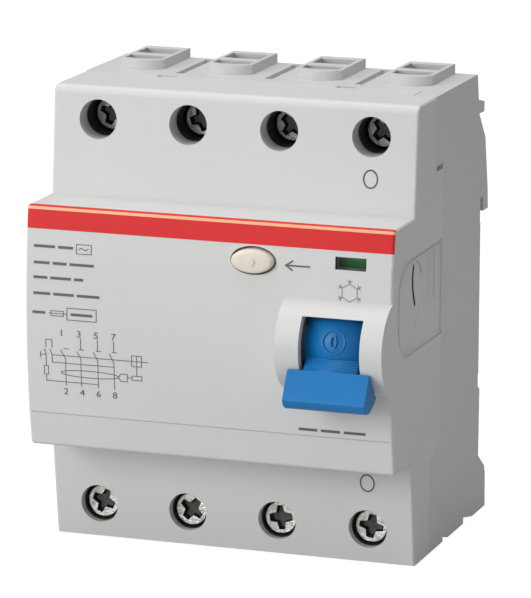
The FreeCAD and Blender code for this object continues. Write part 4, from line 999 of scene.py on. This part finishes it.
def make_screw(name, body, head_front, shank_end, across, height, turn):
    """A screw with a crossed head, its thread drawn as plain rings."""
    shape = bmesh.new()
    outline = [(HEAD_RADIUS - HEAD_CHAMFER, 0.0), (HEAD_RADIUS, HEAD_CHAMFER),
               (HEAD_RADIUS, HEAD_THICK), (THREAD_TOP, HEAD_THICK)]
    down = HEAD_THICK + THREAD_PITCH
    while down < shank_end - head_front - THREAD_PITCH:
        outline += [(THREAD_TOP, down), (THREAD_ROOT, down + THREAD_PITCH / 2)]
        down += THREAD_PITCH
    outline += [(THREAD_ROOT, shank_end - head_front), (0, shank_end - head_front)]
    chain = [shape.verts.new((out, depth, 0)) for out, depth in outline]
    edges = [shape.edges.new(pair) for pair in zip(chain, chain[1:])]
    bmesh.ops.spin(shape, geom=chain + edges, cent=(0, 0, 0), axis=(0, 1, 0),
                   angle=2 * math.pi, steps=36, use_merge=True)
    bmesh.ops.remove_doubles(shape, verts=shape.verts, dist=0.001 * MM)
    cross = [shape.verts.new((across_arm * MM, 0, up_arm * MM)) for across_arm, up_arm in CROSS]
    sides = [shape.edges.new(pair) for pair in zip(cross, cross[1:] + cross[:1])]
    bmesh.ops.rotate(shape, verts=cross, cent=(0, 0, 0), matrix=Matrix.Rotation(turn, 3, "Y"))
    loops = [edge for edge in shape.edges if edge.is_boundary] + sides
    bmesh.ops.triangle_fill(shape, edges=list(set(loops)), use_beauty=True)
    pushed = bmesh.ops.extrude_edge_only(shape, edges=sides)["geom"]
    moved = [part for part in pushed if isinstance(part, bmesh.types.BMVert)]
    floor_edges = [part for part in pushed if isinstance(part, bmesh.types.BMEdge)]
    bmesh.ops.translate(shape, verts=moved, vec=(0, RECESS_DEPTH, 0))
    bmesh.ops.scale(shape, verts=moved, vec=(RECESS_TAPER, 1, RECESS_TAPER))
    bmesh.ops.contextual_create(shape, geom=floor_edges)
    bmesh.ops.translate(shape, verts=shape.verts, vec=(across, head_front, height))
    # The upper screws take the darker zinc, painted shade for their deeper holes.
    plating = zinc_painted_shade if name.startswith("upper") else zinc
    piece = finish_piece(shape, "screw_" + name, plating, body,
                         ("terminal_screw_" + name,))
    # Faces down in the cross recess take the near-black metal, painted shade in the recess.
    piece.data.materials.append(recess_painted_shade)
    for face in piece.data.polygons:
        inside = math.hypot(face.center.x - across, face.center.z - height) < RECESS_REACH
        deep = head_front + SKIN < face.center.y < head_front + RECESS_DEPTH + SKIN
        face.material_index = 1 if inside and deep else 0
    round_piece(piece, 0.09 * MM, 2, 40)
    for face in piece.data.polygons:
        face.use_smooth = False


# %% Eight screws
SCREW_TURNS = {"upper": (20, 75, 130, 48), "lower": (112, 35, 84, 8)}
for side, turns in SCREW_TURNS.items():
    for pole, turn in zip(POLES, turns):
        label = side + "_" + str(pole)
        low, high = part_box("terminal_screw_" + label)
        make_screw(label, "screw_" + label, low[1], high[1], pole_x(pole),
                   (low[2] + high[2]) / 2, math.radians(turn))

# %% [markdown]
# ## Painted shade round the screw heads
#
# Each head sits at the end of a thin near-black tube of painted shade, which lines the deep part of its hole; the
# upper holes, deeper in shadow, get a longer one. A tube is four corner points, spun round the screw's axis.

# %% Painted shade tubes
# Each tube is near-black painted shade on the wall of a screw hole.
SHADE_TUBE_OUTER = 3.6 * MM
SHADE_TUBE_INNER = 3.45 * MM
SHADE_TUBE_LENGTH = {"upper": 3.4 * MM, "lower": 0.45 * MM}
for side, length in SHADE_TUBE_LENGTH.items():
    shade_tubes = bmesh.new()
    for pole in POLES:
        low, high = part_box("terminal_screw_" + side + "_" + str(pole))
        corners = [(SHADE_TUBE_INNER, -length), (SHADE_TUBE_OUTER, -length), (SHADE_TUBE_OUTER, HEAD_THICK),
                   (SHADE_TUBE_INNER, HEAD_THICK)]
        chain = [shade_tubes.verts.new((out, depth, 0)) for out, depth in corners]
        edges = [shade_tubes.edges.new(pair) for pair in zip(chain, chain[1:] + chain[:1])]
        old = set(shade_tubes.verts) - set(chain)
        bmesh.ops.spin(shade_tubes, geom=chain + edges, cent=(0, 0, 0), axis=(0, 1, 0),
                       angle=2 * math.pi, steps=40, use_merge=True)
        fresh = [vert for vert in shade_tubes.verts if vert not in old]
        bmesh.ops.translate(shade_tubes, verts=fresh,
                            vec=(pole_x(pole), low[1], (low[2] + high[2]) / 2))
    finish_piece(shade_tubes, "hole_painted_shade_" + side, painted_shade, "housing")

# %% [markdown]
# ## The blue toggle
#
# The toggle is one moulding: a drum on the pin, a neck that leans down out of the slot,
# and a broad paddle for two fingers. Each is a flat outline pushed sideways. The paddle's
# underside follows the collar, so it clears the collar all the way up.

# %% Toggle outlines
PIVOT = joint_at["toggle_turn"]
DRUM_RADIUS = 6.4 * MM
DRUM_HALF = 5.4 * MM
NECK_HALF = 5.0 * MM
PADDLE_HALF = 7.75 * MM
COLLAR_CLEAR = 9.4 * MM


def from_pivot(corners):
    """Turn (depth, height) millimetres from the pivot into places on the object."""
    return [(PIVOT.y + depth * MM, PIVOT.z + height * MM) for depth, height in corners]


def arc_points(radius, start, end, steps):
    """Points round the pivot; 180 degrees is straight ahead and 270 is down."""
    points = []
    for step in range(steps + 1):
        angle = math.radians(start + (end - start) * step / steps)
        points.append((math.cos(angle) * radius / MM, math.sin(angle) * radius / MM))
    return points


lever = bmesh.new()
drum_outline = from_pivot(arc_points(DRUM_RADIUS, 0, 360 - 360 / 72, 71))
prism(lever, drum_outline, PIVOT.x - DRUM_HALF, PIVOT.x + DRUM_HALF)
neck_outline = from_pivot([(-2, 0), (-6.0, -1.2), (-9.2, -4.2), (-8.6, -7.0), (-3.5, -6.3)])
prism(lever, neck_outline, PIVOT.x - NECK_HALF, PIVOT.x + NECK_HALF)
lever_piece = finish_piece(lever, "lever_drum", toggle_blue, "toggle",
                           ("toggle_lever",))
for face in lever_piece.data.polygons:
    face.use_smooth = len(face.vertices) == 4

paddle = bmesh.new()
under = arc_points(COLLAR_CLEAR, 199.5, 236.5, 14)
paddle_outline = from_pivot(under + [(-5.6, -8.6), (-8.7, -10.2), (-10.4, -10.1), (-11.6, -9.3),
                                     (-12.0, -8.3), (-9.2, -3.5)])
prism(paddle, paddle_outline, PIVOT.x - PADDLE_HALF, PIVOT.x + PADDLE_HALF)
paddle_piece = finish_piece(paddle, "lever_paddle", toggle_blue, "toggle")
round_piece(paddle_piece, 0.6 * MM, 4, 20)


# %% Marks and ribs on the toggle
def lay_on_drum(shape, radius, lean):
    """Wrap a flat drawing, made round height zero, onto the drum, at an angle above level."""
    for vert in shape.verts:
        angle = lean + vert.co.z / radius
        out = radius - vert.co.y
        vert.co.y = PIVOT.y - out * math.cos(angle)
        vert.co.z = PIVOT.z + out * math.sin(angle)
        vert.co.x += PIVOT.x


OFF_LEAN = math.radians(14.5)
ON_LEAN = math.radians(-85.0)
embossed = bmesh.new()
ring(embossed, (0, 0), 2.05, 2.05, 0.3, 36, 0.22 * MM)
write(embossed, "0", -0.65, 0.65, -1.15, 1.15, 0.42 * MM)
lay_on_drum(embossed, DRUM_RADIUS, OFF_LEAN)
finish_piece(embossed, "off_mark", toggle_blue, "toggle")
embossed = bmesh.new()
line(embossed, (0, -1.0), (0, 1.0), 0.45, 0.3 * MM)
lay_on_drum(embossed, DRUM_RADIUS, ON_LEAN)
finish_piece(embossed, "on_mark", toggle_blue, "toggle")
RIB_COUNT = 7
RIB_THICK = 0.1 * MM
ribs = bmesh.new()
for step in range(RIB_COUNT):
    share = (step + 0.5) / RIB_COUNT
    depth = PIVOT.y + (-6.25 - share * 2.7) * MM
    height = PIVOT.z + (-1.43 - share * 2.53) * MM
    rib = bmesh.ops.create_cube(ribs, size=1)["verts"]
    bmesh.ops.scale(ribs, verts=rib, vec=(2 * NECK_HALF - 0.6 * MM, RIB_THICK, RIB_THICK))
    bmesh.ops.translate(ribs, verts=rib, vec=(PIVOT.x, depth, height))
finish_piece(ribs, "lever_ribs", toggle_blue, "toggle")

# %% [markdown]
# ## The sizes, side by side
#
# The box of the imported model and the box of the finished one are put together in one list, and the finished box
# is printed, like the imported box at the start, so that it is easy to see whether a new piece sticks out past the
# real size.

# %% Gather the sizes and print the finished box
size_rows = [list(cad_low), list(cad_high)]
new_low, new_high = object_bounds()
size_rows += [list(new_low), list(new_high)]
print("finished box", [round(v / MM, 1) for v in (*new_low, *new_high)])
